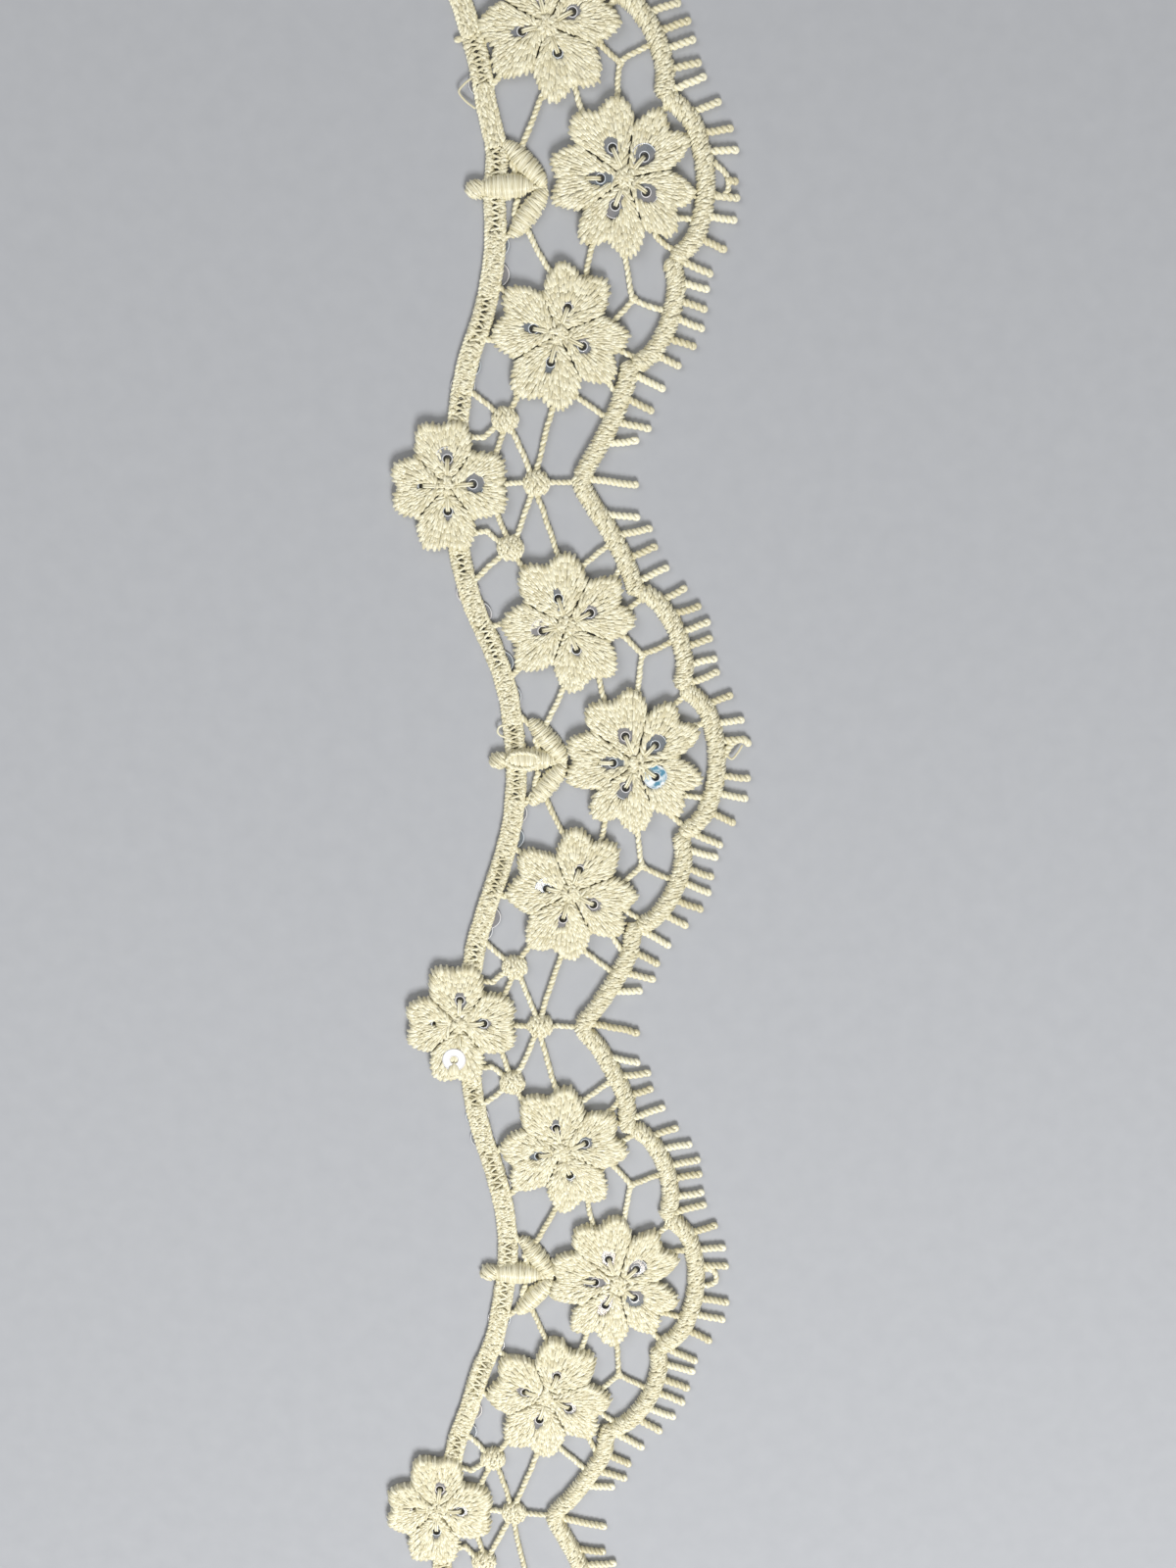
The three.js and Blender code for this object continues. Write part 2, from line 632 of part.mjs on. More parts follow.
const sequin = sequinGeometry();
PLACED.forEach((flower) => {
  FLOWERS[flower.kind].petals.forEach((petal, i) => {
    const name = `sequin_${flower.name}_${i + 1}`;
    const slip = name === SLIPPED.name ? SLIPPED : NOT_SLIPPED;
    const spot = fromCentre(flower, petal.eye, petal.eyeAt);
    const laid = bend(spot.x + slip.across, spot.y + slip.along);
    const mesh = new THREE.Mesh(sequin, FILM);
    mesh.name = name;
    mesh.position.set(laid.x - middle.x, laid.y - middle.y, slip.up);
    mesh.rotation.z = laid.angle;
    part.add(mesh);
  });
});

export default part;
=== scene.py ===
"""Looks of a sequin guipure edging, stitch by stitch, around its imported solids.

Lengths are in millimetres until lay() puts them in the part's frame, in metres. In the straight strip x
runs from the foot to the picots, y along the strip and z up. Half a repeat of the pattern is given by u,
from a valley to a peak, and w, across the strip. Angles are in degrees, and in a flower they go from the
way to the peak towards the picots.
"""

import math
from collections import namedtuple

import bpy
import numpy as np
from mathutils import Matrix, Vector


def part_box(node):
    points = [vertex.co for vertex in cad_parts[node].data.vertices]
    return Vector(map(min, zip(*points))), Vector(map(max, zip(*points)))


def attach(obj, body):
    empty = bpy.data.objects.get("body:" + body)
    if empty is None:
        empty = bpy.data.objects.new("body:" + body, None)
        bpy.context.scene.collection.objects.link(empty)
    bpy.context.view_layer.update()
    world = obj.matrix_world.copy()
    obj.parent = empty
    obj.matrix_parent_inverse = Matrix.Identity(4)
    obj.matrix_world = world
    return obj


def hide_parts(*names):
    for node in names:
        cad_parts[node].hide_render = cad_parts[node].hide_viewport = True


SEED = 7
MM = 0.001
TINY = 1e-9
FULL_TURN = 2 * np.pi
GOLDEN = 0.618034
STRAND_MAP = "strand"  # along each strand in millimetres, and around it from 0 to 1
ATLAS_MAP = "OFBake"
ATLAS_MARGIN = 0.06
SHADE = "shade"  # one value from 0 to 1 for each strand

# The repeat and how the cut length lies, as in the solids.
PITCH = 68.55
HALF = PITCH / 2
VALLEYS = 3
PEAKS = 3
LOW_END = 10.4
HIGH_END = 5.9
END_SLACK = 0.2
LAY_RADIUS = 1161
MIDDLE = (VALLEYS * PITCH - HIGH_END - LOW_END) / 2
WAVE_STEP = 12.9898
WAVE_REACH = 43758.5453

# The pattern on one side of a valley, from one u to another.
Half = namedtuple("Half", "valley side start stop", defaults=[0, HALF])
HALVES = [
    Half(0, -1, stop=LOW_END),
    Half(0, 1),
    *[Half(valley, side) for valley in range(1, VALLEYS) for side in (-1, 1)],
    Half(VALLEYS, -1, start=HIGH_END),
]
PEAK_HALVES = [half for half in HALVES if half.stop == HALF]

Row = namedtuple("Row", "u w stray", defaults=[None])
Span = namedtuple("Span", "u w to_u to_w")
# The stitches of a column are short ones all over it (rice) or go from edge to edge (satin). They lean
# between two angles from the way across, and rice leans to one side or to both.
Stitch = namedtuple("Stitch", "kind lean sides", defaults=[(-1, 1)])
RICE = Stitch("rice", (0, 40))
FLOATS = Stitch("rice", (55, 90))
# A column of stitches: half its width, its height, how long its ends taper, and its stitches.
Shape = namedtuple("Shape", "half_width top tip stitch", defaults=[0.9, RICE])
# Two plies wound around a path: their offset and radius, the length of a turn and the path's height.
Rope = namedtuple("Rope", "offset radius turn height")

# A petal: the angle and radius of the slit before it, the radii of its notch and its reach, the angle and
# radius of its sequin, how far its outline spreads, and how far its eyelet is open.
Petal = namedtuple("Petal", "start slit notch reach eye eye_at spread open", defaults=[1, 1])
Kind = namedtuple("Kind", "u w petals")
KINDS = {
    "valley": Kind(0, -16.1, [
        Petal(-44, 5.0, 7.4, 8.0, 4, 3.3),
        Petal(38, 5.1, 6.9, 7.5, 86, 3.2),
        Petal(140, 4.9, 7.4, 8.0, 178, 3.0),
        Petal(223, 5.2, 6.0, 6.9, 272, 2.8, open=0.7),
    ]),
    "side": Kind(17.2, -2.1, [
        Petal(-22, 5.0, 7.1, 8.4, 20, 3.2, open=0.7),
        Petal(68, 5.6, 7.0, 8.4, 116, 3.2),
        Petal(152, 5.9, 7.7, 8.8, 195, 3.4),
        Petal(240, 5.8, 6.7, 8.0, 281, 3.0),
    ]),
    "peak": Kind(HALF, 6.2, [
        Petal(11, 5.9, 7.3, 8.7, 45, 3.2),
        Petal(83, 5.0, 6.8, 8.4, 127, 2.8),
        Petal(163, 6.0, 7.3, 8.8, 206, 3.3, 1.15),
        Petal(237, 5.6, 8.0, 9.0, 273, 3.0),
        Petal(308, 6.8, 8.2, 9.3, 338, 3.7, 1.25),
    ]),
}
# How far each flower strays from its kind's place, along and across, and its turn.
Flower = namedtuple("Flower", "kind name valley side along across turn")
FLOWERS = [
    Flower("valley", "valley1", 0, 1, -0.2, 0.2, -1),
    Flower("side", "lower1", 0, 1, 0.4, -0.3, -1),
    Flower("peak", "peak1", 0, 1, -0.2, -0.4, 0),
    Flower("side", "upper1", 1, -1, -0.5, -0.2, 0),
    Flower("valley", "valley2", 1, 1, 0.1, 0.1, -1),
    Flower("side", "lower2", 1, 1, 0.5, 0, 0),
    Flower("peak", "peak2", 1, 1, -0.1, -0.1, -1),
    Flower("side", "upper2", 2, -1, 0, -0.3, 1),
    Flower("valley", "valley3", 2, 1, 0, -0.3, 1),
    Flower("side", "lower3", 2, 1, 0.2, -0.1, 3),
    Flower("peak", "peak3", 2, 1, 0.3, 0.5, 0),
    Flower("side", "upper3", 3, -1, -0.6, 0.9, -3),
]
FLOWERS_A_REPEAT = 4
# One half of a petal's outline, from its middle: the angle as a share of the half petal, and how far the
# radius falls from the petal's reach, as shares of the way to its middle notch and to the slit beside it.
OutlineRow = namedtuple("OutlineRow", "angle notch slit")
OUTLINE = [OutlineRow(0, 1, 0), OutlineRow(0.2, 0.4, 0), OutlineRow(0.45, 0, 0), OutlineRow(0.74, 0, 0.48)]
OUTLINE_STEP = 0.25

# The opening over each sequin: half its length and width, and how far out it is from the sequin's middle.
Eyelet = namedtuple("Eyelet", "long wide out")
EYELETS = {"valley": Eyelet(0.9, 0.62, 0.1), "side": Eyelet(1.0, 0.68, 0.1), "peak": Eyelet(1.3, 0.9, 0.2)}
# Two petals whose sequins came out over the stitches, and one that is torn open.
OPEN_EYELETS = {
    ("valley2", 2): Eyelet(0.6, 0.4, -0.9),
    ("peak2", 1): Eyelet(1.4, 1.3, 0),
    ("valley3", 1): Eyelet(1.1, 1.0, 0.3),
}
EYELET_ROUGH = 0.25

# The cord in three stretches, and the foot. Rows that name a column of PATH_STRAYS stray on each half.
CORD_LOW = [
    Row(0, -0.2), Row(2.6, 1.2, "cord"), Row(5, 2.7, "cord"), Row(7.5, 4.1, "cord"), Row(10, 5.2, "cord"),
    Row(12, 5.8), Row(13.9, 6.2),
]
CORD_MIDDLE = [
    Row(13.2, 6.5), Row(14.5, 8.6), Row(16, 9.8), Row(17.5, 10.7), Row(20, 11.6), Row(22.5, 12.0),
    Row(25.4, 11.5),
]
CORD_HIGH = [
    Row(25.1, 11.6), Row(26.3, 13.3), Row(27.8, 14.6), Row(30, 15.4), Row(32.2, 15.9), Row(HALF, 16.0),
]
FOOT = [
    Row(6.2, -14.9, "near"), Row(10, -14.4, "near"), Row(15, -13.1, "near"), Row(20, -11.4, "middle"),
    Row(25, -9.7, "far"), Row(30, -9.0, "far"), Row(HALF, -8.8),
]
PathStray = namedtuple("PathStray", "cord near middle far", defaults=[0, 0, 0, 0])
PATH_STRAYS = {
    (0, 1): PathStray(0.5, 0.5, -0.1, -0.2),
    (1, -1): PathStray(0.6, 0.5, 0.5, 0.2),
    (1, 1): PathStray(0.3, 0.4, 0.3, 0),
    (2, -1): PathStray(-0.2, -0.5, -0.1, -0.2),
    (2, 1): PathStray(-0.1, 0.1, 0.4, 0.1),
    (3, -1): PathStray(0, 2.7, 2.0, 0.8),
}
CORD_SHAPE = Shape(1.08, 1.3, stitch=Stitch("rice", (12, 42), [1]))
MIDDLE_CORD_SHAPE = CORD_SHAPE._replace(top=1.35)

FOOT_DENSE = [(6.2, 8.4), (11.0, 17.0), (22.2, 29.6)]  # where short stitches fill the foot
FOOT_OPEN = [(8.4, 11.0), (17.0, 22.2), (29.6, HALF)]  # where strands cross between two bands
FOOT_SHAPE = Shape(1.1, 0.85, 0.19)
LOOSE_FOOT_SHAPE = FOOT_SHAPE._replace(stitch=FLOATS)
FOOT_BAND = 0.78  # the middle of each band
FOOT_BAND_SHAPE = Shape(0.45, 0.85)
FOOT_EDGE = 1.0  # the middle of each edge cord
FOOT_EDGE_ROPE = Rope(0.13, 0.19, 0.95, 0.52)
FOOT_CROSS = 0.62  # from one crossed strand to the next
FOOT_CROSS_LEAST = 3
FOOT_CROSS_REACH = 0.55
FOOT_CROSS_RADIUS = 0.16
FOOT_CROSS_UNEVEN = 0.14

# The bars, and the picots from the cord outwards.
BARS = [
    Span(1.2, -5.6, 10.0, -2.9), Span(1.2, -6.2, 6.9, -8.5), Span(6.8, -9.2, 3.0, -10.6),
    Span(7.3, -9.8, 5.6, -11.8), Span(5.6, -11.5, 6.1, -14.4), Span(8.3, -9.8, 11.7, -13.6),
    Span(8.6, -8.5, 11.6, -6.6), Span(6.9, 3.8, 10.8, -1.2), Span(9.4, 4.9, 13.0, 2.7),
    Span(14.3, 6.7, 15.8, 4.3), Span(21.1, 6.5, 19.3, 10.8), Span(21.3, 7.1, 17.9, 3.6),
    Span(20.7, 6.8, 26.3, 6.1), Span(23.2, 1.3, 27.6, 2.4), Span(23.9, -2.4, 30.4, -5.6),
    Span(21.4, -7.0, 23.9, -9.7), Span(16.9, -9.0, 17.3, -12.0), Span(26.1, 12.1, 28.3, 9.6),
    Span(29.6, 14.6, 30.1, 11.6), Span(28.5, -8.2, 29.9, -6.8), Span(33.0, -6.1, 31.3, -6.6),
]
VALLEY_BARS = [Span(0, -0.7, 0, -5), Span(0, -6.2, 0, -10.4)]
TAB_BARS = [Span(HALF + 0.2, -5.2, HALF, -2.7), Span(HALF - 0.2, -5.2, HALF, -2.9)]
BAR_BOW = 0.12
BAR_ROPE = Rope(0.16, 0.235, 1.2, 0.44)
BAR_TURN_UNEVEN = (0.9, 1.15)
PICOTS = [
    Span(4.5, 3.3, 4.8, 7.3), Span(6.9, 4.6, 6.1, 8.8), Span(9.6, 5.7, 8.1, 9.2),
    Span(12.6, 6.6, 10.6, 10.7), Span(15.0, 8.9, 13.2, 12.7), Span(16.6, 10.5, 15.4, 14.5),
    Span(18.7, 11.8, 17.4, 15.6), Span(20.6, 12.2, 19.4, 15.9), Span(22.9, 12.3, 21.9, 16.4),
    Span(25.2, 12.4, 23.5, 16.8), Span(27.8, 14.8, 26.2, 18.4), Span(30.0, 16.0, 29.4, 19.8),
    Span(32.2, 16.3, 31.9, 20.2),
]
VALLEY_PICOT = Span(0.1, 0.6, 1.0, 7.1)
# How the picots of each half stray: at the root along u, then at the tip along u and outwards.
PicotStray = namedtuple("PicotStray", "root tip longer", defaults=[0, 0, 0])
PICOT_STRAYS = {
    (0, 1): PicotStray(0.2, 0.1, 0.4),
    (1, -1): PicotStray(-0.6, -0.3, 0),
    (1, 1): PicotStray(0.4, 0.2, 0.1),
    (2, -1): PicotStray(-0.5, -0.3, -0.4),
    (2, 1): PicotStray(-0.1, -0.2, -0.3),
    (3, -1): PicotStray(-0.6, -0.2, -0.1),
}
PICOT_UNEVEN = 0.12
PICOT_ROPE = Rope(0.225, 0.265, 1.3, 0.5)
PICOT_TURN_UNEVEN = (0.9, 1.1)
PICOT_SINK = 0.6  # how far a picot starts inside the cord
KNOB = 0.22  # the loop at the end of a picot
KNOB_ARC = np.radians(np.linspace(110, -110, 11))
ROPE_STEP = 0.15
ROPE_SIDES = 6
ROPE_CAP = 0.05  # how thick a strand is at its very end, as a share
ROPE_WANDER = 0.06
ROPE_UNEVEN = 0.14
ROPE_SLIP = 0.7  # how far a twist runs ahead or behind, in radians
WANDER_POINTS = 5
WANDER_LEAST = 3

# Loops that stand out at the peaks and along the foot.
Loop = namedtuple("Loop", "half kind points")
LOOPS = [
    Loop(Half(1, -1), "rope", [(31.9, 17.0), (32.3, 18.2), (33.6, 18.6), (34.2, 17.7), (34.3, 17.0)]),
    Loop(Half(2, -1), "picot", [(33.7, 16.9), (32.4, 17.5), (31.65, 18.4), (31.6, 19.5), (32.4, 20.1)]),
    Loop(Half(2, -1), "thread", [(32.2, 19.1), (33.2, 18.5), (33.9, 17.8), (33.4, 17.1)]),
    Loop(Half(2, 1), "rope", [
        (35.8, 17.0), (34.9, 18.0), (33.8, 18.6), (32.4, 18.4), (31.9, 17.6), (32.4, 16.9),
    ]),
    Loop(Half(2, 1), "picot", [(33.8, 18.4), (33.6, 18.9), (33.5, 19.9)]),
    Loop(Half(2, -1), "thread", [(29.5, -9.9), (29.8, -10.9), (30.4, -11.1), (30.8, -10.8), (31.1, -9.9)]),
    Loop(Half(3, -1), "thread", [(21.6, -10.4), (22.2, -11.3), (23.0, -12.0), (23.9, -11.5), (25.0, -10.3)]),
]
LOOP_ROPE = BAR_ROPE._replace(height=PICOT_ROPE.height)
LOOSE_RADIUS = 0.14
LOOSE_HEIGHT = 0.8
LEAF_RING = Row(30.1, -6.9)
LEAF_RING_HALF = Half(1, 1)
LEAF_RING_ARC = np.linspace(0, 360, 17)
LEAF_RING_RADIUS = 0.36
LEAF_RING_HEIGHT = 1.3
LEAF_RING_THREAD = 0.07

# Knots, leaves and tabs.
KNOT = Row(7.7, -9.0)
VALLEY_KNOT = Row(0, -5.6)
KNOT_RADIUS = 1.6
KNOT_SHAPE = Shape(KNOT_RADIUS, 1.25, KNOT_RADIUS)
LEAF = Span(28.9, -7.1, 34.1, -2.7)
LEAF_SHAPE = Shape(1.25, 1.35, 3.4, Stitch("satin", (-14, 14)))
TAB_PANEL = Span(HALF + 0.35, -10.6, HALF + 0.35, -4.2)
TAB_SHAPE = Shape(1.5, 1.6, 3.0, Stitch("satin", (-8, 8)))
TAB_KNOB = Span(HALF + 0.1, -12.2, HALF + 0.4, -9.7)
TAB_KNOB_SHAPE = Shape(1.1, 1.3, stitch=Stitch("satin", (20, 40)))
TAB_BORDER = Span(HALF + 0.35, -10.0, HALF + 0.35, -6.0)
TAB_BORDER_SHAPE = Shape(0.95, 1.6, 1.7)
TAB_BORDER_ROPE = Rope(0.11, 0.17, 0.95, 1.43)
TAB_BORDER_POINTS = 30
TAB_BORDER_CLEAR = 0.02
BORDERED_PEAK = 1

# Stitches.
STITCH_PITCH = 0.24  # from one stitch line to the next
STITCH_SHIFT = 0.25  # how far a stitch line strays, as a share of the pitch
STITCH_RADIUS = 0.175
STITCH_FLAT = 0.7  # how high a stitch is for its width
STITCH_POINTS = 5
STITCH_SHARES = np.linspace(0, 1, STITCH_POINTS)
SATIN_SHARES = (1 - np.cos(np.pi * STITCH_SHARES)) / 2  # closer together at both edges
STITCH_ARC = np.radians([-105, -38, 38, 105])  # the section of a stitch, open underneath
STITCH_TAPER = 0.45  # how much thinner a stitch is at its ends
TAPER_POWER = 3
STITCH_UNEVEN = 0.14
STITCH_LIFT = (0.02, 0.09)
STITCH_DIP = 0.15
DIP_POWER = 4
STITCH_SWAY = 0.09
STITCH_SLEW = 0.07
GRAIN = 0.85  # how long a stitch is before the next begins
GRAIN_LAP = 0.12
GRAIN_UNEVEN = 0.35
GRAIN_COUNT_UNEVEN = 0.4
RICE_ROW = 0.46
RICE_STEP = 0.32
RICE_LENGTH = 0.85
RICE_RUN_UNEVEN = 0.5  # how far a short stitch strays along, as a share of the step
RICE_ROW_UNEVEN = 0.6  # how far it strays across, as a share of half a row
STITCH_OVER = 0.12  # how far stitches reach over a column's edge
COLUMN_LOW = 0.42  # the height of a column's edge
COLUMN_STEP = 0.3
COLUMN_SECTION = np.radians(np.linspace(-90, 90, 7))
TIP_WIDTH = 0.05  # the least width and rise at a column's ends, as shares
TIP_RISE = 0.2
GROUND_DROP = 0.1
GROUND_INSET = 0.12
GROUND_LEAST_WIDTH = 0.02
GROUND_LEAST_TOP = 0.05

# The heights of a petal, and its stitches.
CROWN = 1.42
EDGE_LOW = 0.85
EDGE_ROUND = 0.6
EDGE_FALL = 1.2  # how steeply stitches fall past the edge
SLIT_LOW = 1.18
SLIT_ROUND = 0.35
SLIT_GAP = 0.05
SLIT_FROM = 2.2  # where a slit begins to open, from the middle of the flower
SLIT_OPENS = 1.2
SLIT_POINTS = 16
SLIT_BARE = 4  # how many of these points, from the hub on, have no stitch lines
RIM_LOW = 1.22
RIM_ROUND = 0.7
RIDGE = 0.1  # how far the edge of a sequin shows through the stitches over it
RIDGE_WIDTH = 0.3
EDGE_UNEVEN = (-0.3, -0.05)  # how far the stitches end from a petal's edge
RIM_UNEVEN = (-0.22, 0.12)
FAN_AT = 0.4  # where the stitches of a petal fan out from, as a share of the way to its sequin
FAN_STARTS = [0.12, 0.6, 0.32, 0.72]  # where neighbouring stitch lines start, as shares of their reach
FAN_UNEVEN = 0.06
LUMP_PITCH = 0.62  # from one thick stitch over the edge to the next
LUMP_SHIFT = 0.2
LUMP_RADIUS = 0.23
LUMP_LENGTH = (0.8, 1.3)
LUMP_OVER = (0, 0.24)
LUMP_TAPER = 0.25
LUMP_CLEAR = 0.3  # from the ends of a petal's edge
RADIAL_RINGS = np.array([0, 0.15, 0.35, 0.6, 0.8, 0.92, 1])
RIM_POINTS = 56

# The middle of a flower.
HUB_RADIUS = 0.9
HUB_TOP = 1.56
HUB_PROFILE = [(0, 0), (1.25, 0), (1.25, 0.7), (1.1, 1.1), (0.6, 1.28), (0, 1.32)]
HUB_SIDES = 18
HUB_DROP = 0.1
HUB_STITCH_COUNT = 32
HUB_STITCH_LENGTH = 0.7
HUB_STITCH_REACH = 1.05
HUB_RAYS = 20
HUB_RAY_UNEVEN = 5
HUB_RAY_SLEW = 20
HUB_RAY_LENGTH = (0.7, 1.0)
HUB_NEAR = (0.8, 1.3)  # how far a ray goes towards a sequin
HUB_FAR = (1.4, 2.5)  # how far it goes between two sequins
HUB_EYE = 20  # degrees on either side of a sequin
STAMEN_FROM = 1.35
STAMEN_OUT = 1.7
STAMEN_RADIUS = 0.135
STAMEN_APART = 0.13
STAMEN_POINTS = 9
STAMEN_RISE = ([0, 0.3, 0.8, 1], [1.3, 1.55, 1.5, 1.15])
OUTWARD_STAMEN = ("peak", 3)  # the kind and the petal where it goes from the sequin outwards

# Sequins. The section of one is given by radii and heights, with close pairs that keep its edges crisp.
FILM_SIDES = 36
SEQUIN_RADIUS = 1.5
SEQUIN_HOLE = 0.5
SEQUIN_PROFILE = [
    (SEQUIN_HOLE, 1.25), (0.54, 1.25), (1.0, 1.21), (1.46, 1.24), (SEQUIN_RADIUS, 1.24),
    (SEQUIN_RADIUS, 1.31), (1.46, 1.31), (1.0, 1.28), (0.54, 1.32), (SEQUIN_HOLE, 1.32),
]
SEQUIN_TILT = 0.05
LIP = 0.07
LIP_AT = 1.3
LIP_ARC = np.linspace(0, FULL_TURN, 4, endpoint=False)
GLINTS = [("valley3", 0), ("upper2", 3), ("lower2", 3), ("peak3", 0)]  # sequins that catch the light
GLINT_TILT = (-0.138, 0.169)  # across and along
FOOT_SEQUINS = {
    Half(0, 1): [(11.3, -12.9), (14.5, -12.4), (24.2, -10.0), (27.9, -9.4)],
    Half(1, -1): [(12.5, -13.4), (15.4, -12.7), (22.0, -10.2)],
    Half(1, 1): [(12.5, -13.3), (14.2, -12.3), (24.6, -9.4), (27.8, -9.0)],
    Half(2, -1): [(13.0, -14.3), (15.7, -13.0), (21.8, -10.5), (26.0, -9.6)],
    Half(2, 1): [(11.8, -13.9), (14.3, -13.1), (24.7, -9.1), (28.1, -8.9)],
    Half(3, -1): [(22.2, -9.4)],
}
FOOT_SEQUIN_DROP = 1.0
# Stitches over the edge of the sequin that slipped.
COVERED = ("valley2", 2)
COVER_STITCHES = 11
COVER_HALF_WIDTH = 0.6
COVER_NARROWS = 0.6
COVER_FROM = 2.0
COVER_TO = 0.35
COVER_ROUNDS = (0.3, 1)
COVER_HEIGHT = 1.37

# A film's two tints, how opaque it is, how fine its patches are and how thick its coating is, in nanometres.
Film = namedtuple("Film", "name tints alpha patches coating")
CLEAR_FILM = Film("clear_film", [(0.24, 0.27, 0.3), (0.36, 0.35, 0.36)], 0.55, 260, (10, 60))
# The slipped clear sequin is painted near white all over, as a painted reflection of the light.
GLINT_WHITE_FILM = Film("glint_white_film", [(0.93, 0.95, 0.97), (1, 1, 1)], 0.93, 260, (10, 60))
# The tinted sequin's blue and its thin coating are the film's own; its near-white patches are painted
# sparkle.
TINT_AND_SPARKLE_FILM = Film("tint_and_sparkle_film", [(0.12, 0.3, 0.42), (0.95, 1, 1)], 0.93, 1200, (150, 200))
# The beads along the edges of each sequin's hole and rim are painted near white, as a painted glint of light
# on the film's edges.
FILM_EDGE_GLINT = Film("film_edge_glint", [(0.8, 0.86, 0.92), (0.95, 0.92, 0.92)], 0.85, 260, (10, 60))
FILM_STOPS = (0.38, 0.62)  # where the noise gives the dark and the light tint
FILM_GLOSS = {"Roughness": 0.1, "Specular IOR Level": 0.8}
# Sequins that show all of their film, and how far each slipped across, along and up from its petal's table.
# The slipped one's near-white film is a painted reflection of the light.
Bright = namedtuple("Bright", "slip film")
NOT_SLIPPED = Bright((0, 0, 0), CLEAR_FILM)
BRIGHT = {COVERED: Bright((-0.6, -1.6, 0.35), GLINT_WHITE_FILM), ("peak2", 1): Bright((0, 0, 0), TINT_AND_SPARKLE_FILM)}
CREAM = [(0.66, 0.6, 0.39), (0.94, 0.9, 0.69)]
# The thread under the stitches is painted a little darker than the stitches on top, as painted shade in the
# gaps between them.
SHADED_UNDER_CREAM = [(0.7, 0.65, 0.45), (0.82, 0.77, 0.58)]
THREAD_STOPS = (0.2, 0.8)
THREAD_GLOSS = {"Roughness": 0.3, "Specular IOR Level": 0.6, "Sheen Weight": 0.15, "Sheen Roughness": 0.4}
FIBRE_SCALE = (0.9, 5, 1)  # fibres along and around a strand
FIBRE_SHARE = 0.45
FIBRE_DEPTH = 0.06
FIBRE_BUMP = 0.8
FLOOR_TONES = [(0.4, 0.41, 0.43), (0.44, 0.45, 0.47)]
FLOOR_STOPS = (0, 1)
FLOOR_GRAIN = 400
FLOOR_ROUGHNESS = 0.9

# The sheet and the stage, in metres.
FLOOR_SIZE = 6
Light = namedtuple("Light", "name at size power")
LIGHTS = [Light("key", (0.12, -0.42, 0.5), 0.25, 4.2), Light("fill", (-0.45, 0.3, 0.6), 0.5, 1.7)]
WORLD_STRENGTH = 0.3
CAMERA_AT = (0.00281, 0.04813, 0.2276)
CAMERA_TURN = (-10.73, 0, 0.26)
CAMERA_NEAR = 0.01
LENS_MM = 42.75


def uneven(number):
    """A repeatable unevenness from -1 to 1, the same as in the solids."""
    wave = math.sin(number * WAVE_STEP) * WAVE_REACH
    return 2 * (wave - math.floor(wave)) - 1


def polar(degrees, radius):
    angle = np.radians(degrees)
    return np.stack([radius * np.sin(angle), radius * np.cos(angle)], -1)


def wrapped(angle):
    """An angle in radians, from minus half a turn to half a turn."""
    return (angle + np.pi) % FULL_TURN - np.pi


def dome(share):
    """A quarter circle: 0 at 0, and 1 from 1 on."""
    return np.sqrt(1 - (1 - np.clip(share, 0, 1)) ** 2)


def lengths(vectors):
    return np.linalg.norm(vectors, axis=-1)


def unit(vectors):
    return vectors / np.maximum(lengths(vectors), TINY)[..., None]


def right_of(ways):
    """The flat directions a quarter turn to the right."""
    return np.stack([ways[..., 1], -ways[..., 0]], -1)


def across_line(line):
    """The way to the right at each point of a flat line."""
    return right_of(unit(np.gradient(line, axis=0)))


def run_along(line):
    """How far along a line each of its points lies."""
    return np.concatenate([[0], np.cumsum(lengths(np.diff(line, axis=0)))])


def along_line(line, run, at):
    """Points at distances along a flat line."""
    return np.stack([np.interp(at, run, line[:, 0]), np.interp(at, run, line[:, 1])], -1)


def smooth(points, step):
    """A smooth line through points, sampled about every step."""
    points = np.asarray(points, float)
    run = run_along(points)
    if len(points) == 2:
        slope = np.repeat([(points[1] - points[0]) / run[1]], 2, axis=0)
    else:
        slope = np.gradient(points, run, axis=0)
    at = np.linspace(0, run[-1], max(2, round(run[-1] / step) + 1))
    i = np.clip(np.searchsorted(run, at, side="right") - 1, 0, len(run) - 2)
    width = (run[i + 1] - run[i])[:, None]
    t = (at - run[i])[:, None] / width
    ends = points[i] * (1 + 2 * t) * (1 - t) ** 2 + points[i + 1] * t**2 * (3 - 2 * t)
    slopes = slope[i] * t * (1 - t) ** 2 - slope[i + 1] * t**2 * (1 - t)
    return ends + slopes * width


def gap(points, line):
    """How far each point lies from an open line."""
    start = line[:-1]
    step = line[1:] - start
    away = points[..., None, :] - start
    share = (away * step).sum(-1) / np.maximum((step**2).sum(-1), TINY)
    near = away - np.clip(share, 0, 1)[..., None] * step
    return np.sqrt((near**2).sum(-1).min(-1))


def raised(flat, height):
    """Flat points at one height, or each at its own."""
    return np.concatenate([flat, np.broadcast_to(height, flat.shape[:-1])[..., None]], -1)


def either_way(rng, reach, size=None):
    """Random values on both sides of 0."""
    return rng.uniform(-reach, reach, size)


def add_object(name, data):
    made = bpy.data.objects.new(name, data)
    bpy.context.scene.collection.objects.link(made)
    return made


def bend(points):
    """Points of the straight strip on the arc in which it lies, in metres."""
    angle = (points[:, 1] - MIDDLE) / LAY_RADIUS
    radius = LAY_RADIUS + points[:, 0]
    return np.stack([radius * np.cos(angle) - LAY_RADIUS, radius * np.sin(angle), points[:, 2]], 1) * MM


def lay(points):
    """Points of the straight strip in the part's frame."""
    return bend(points) - LAY_SHIFT


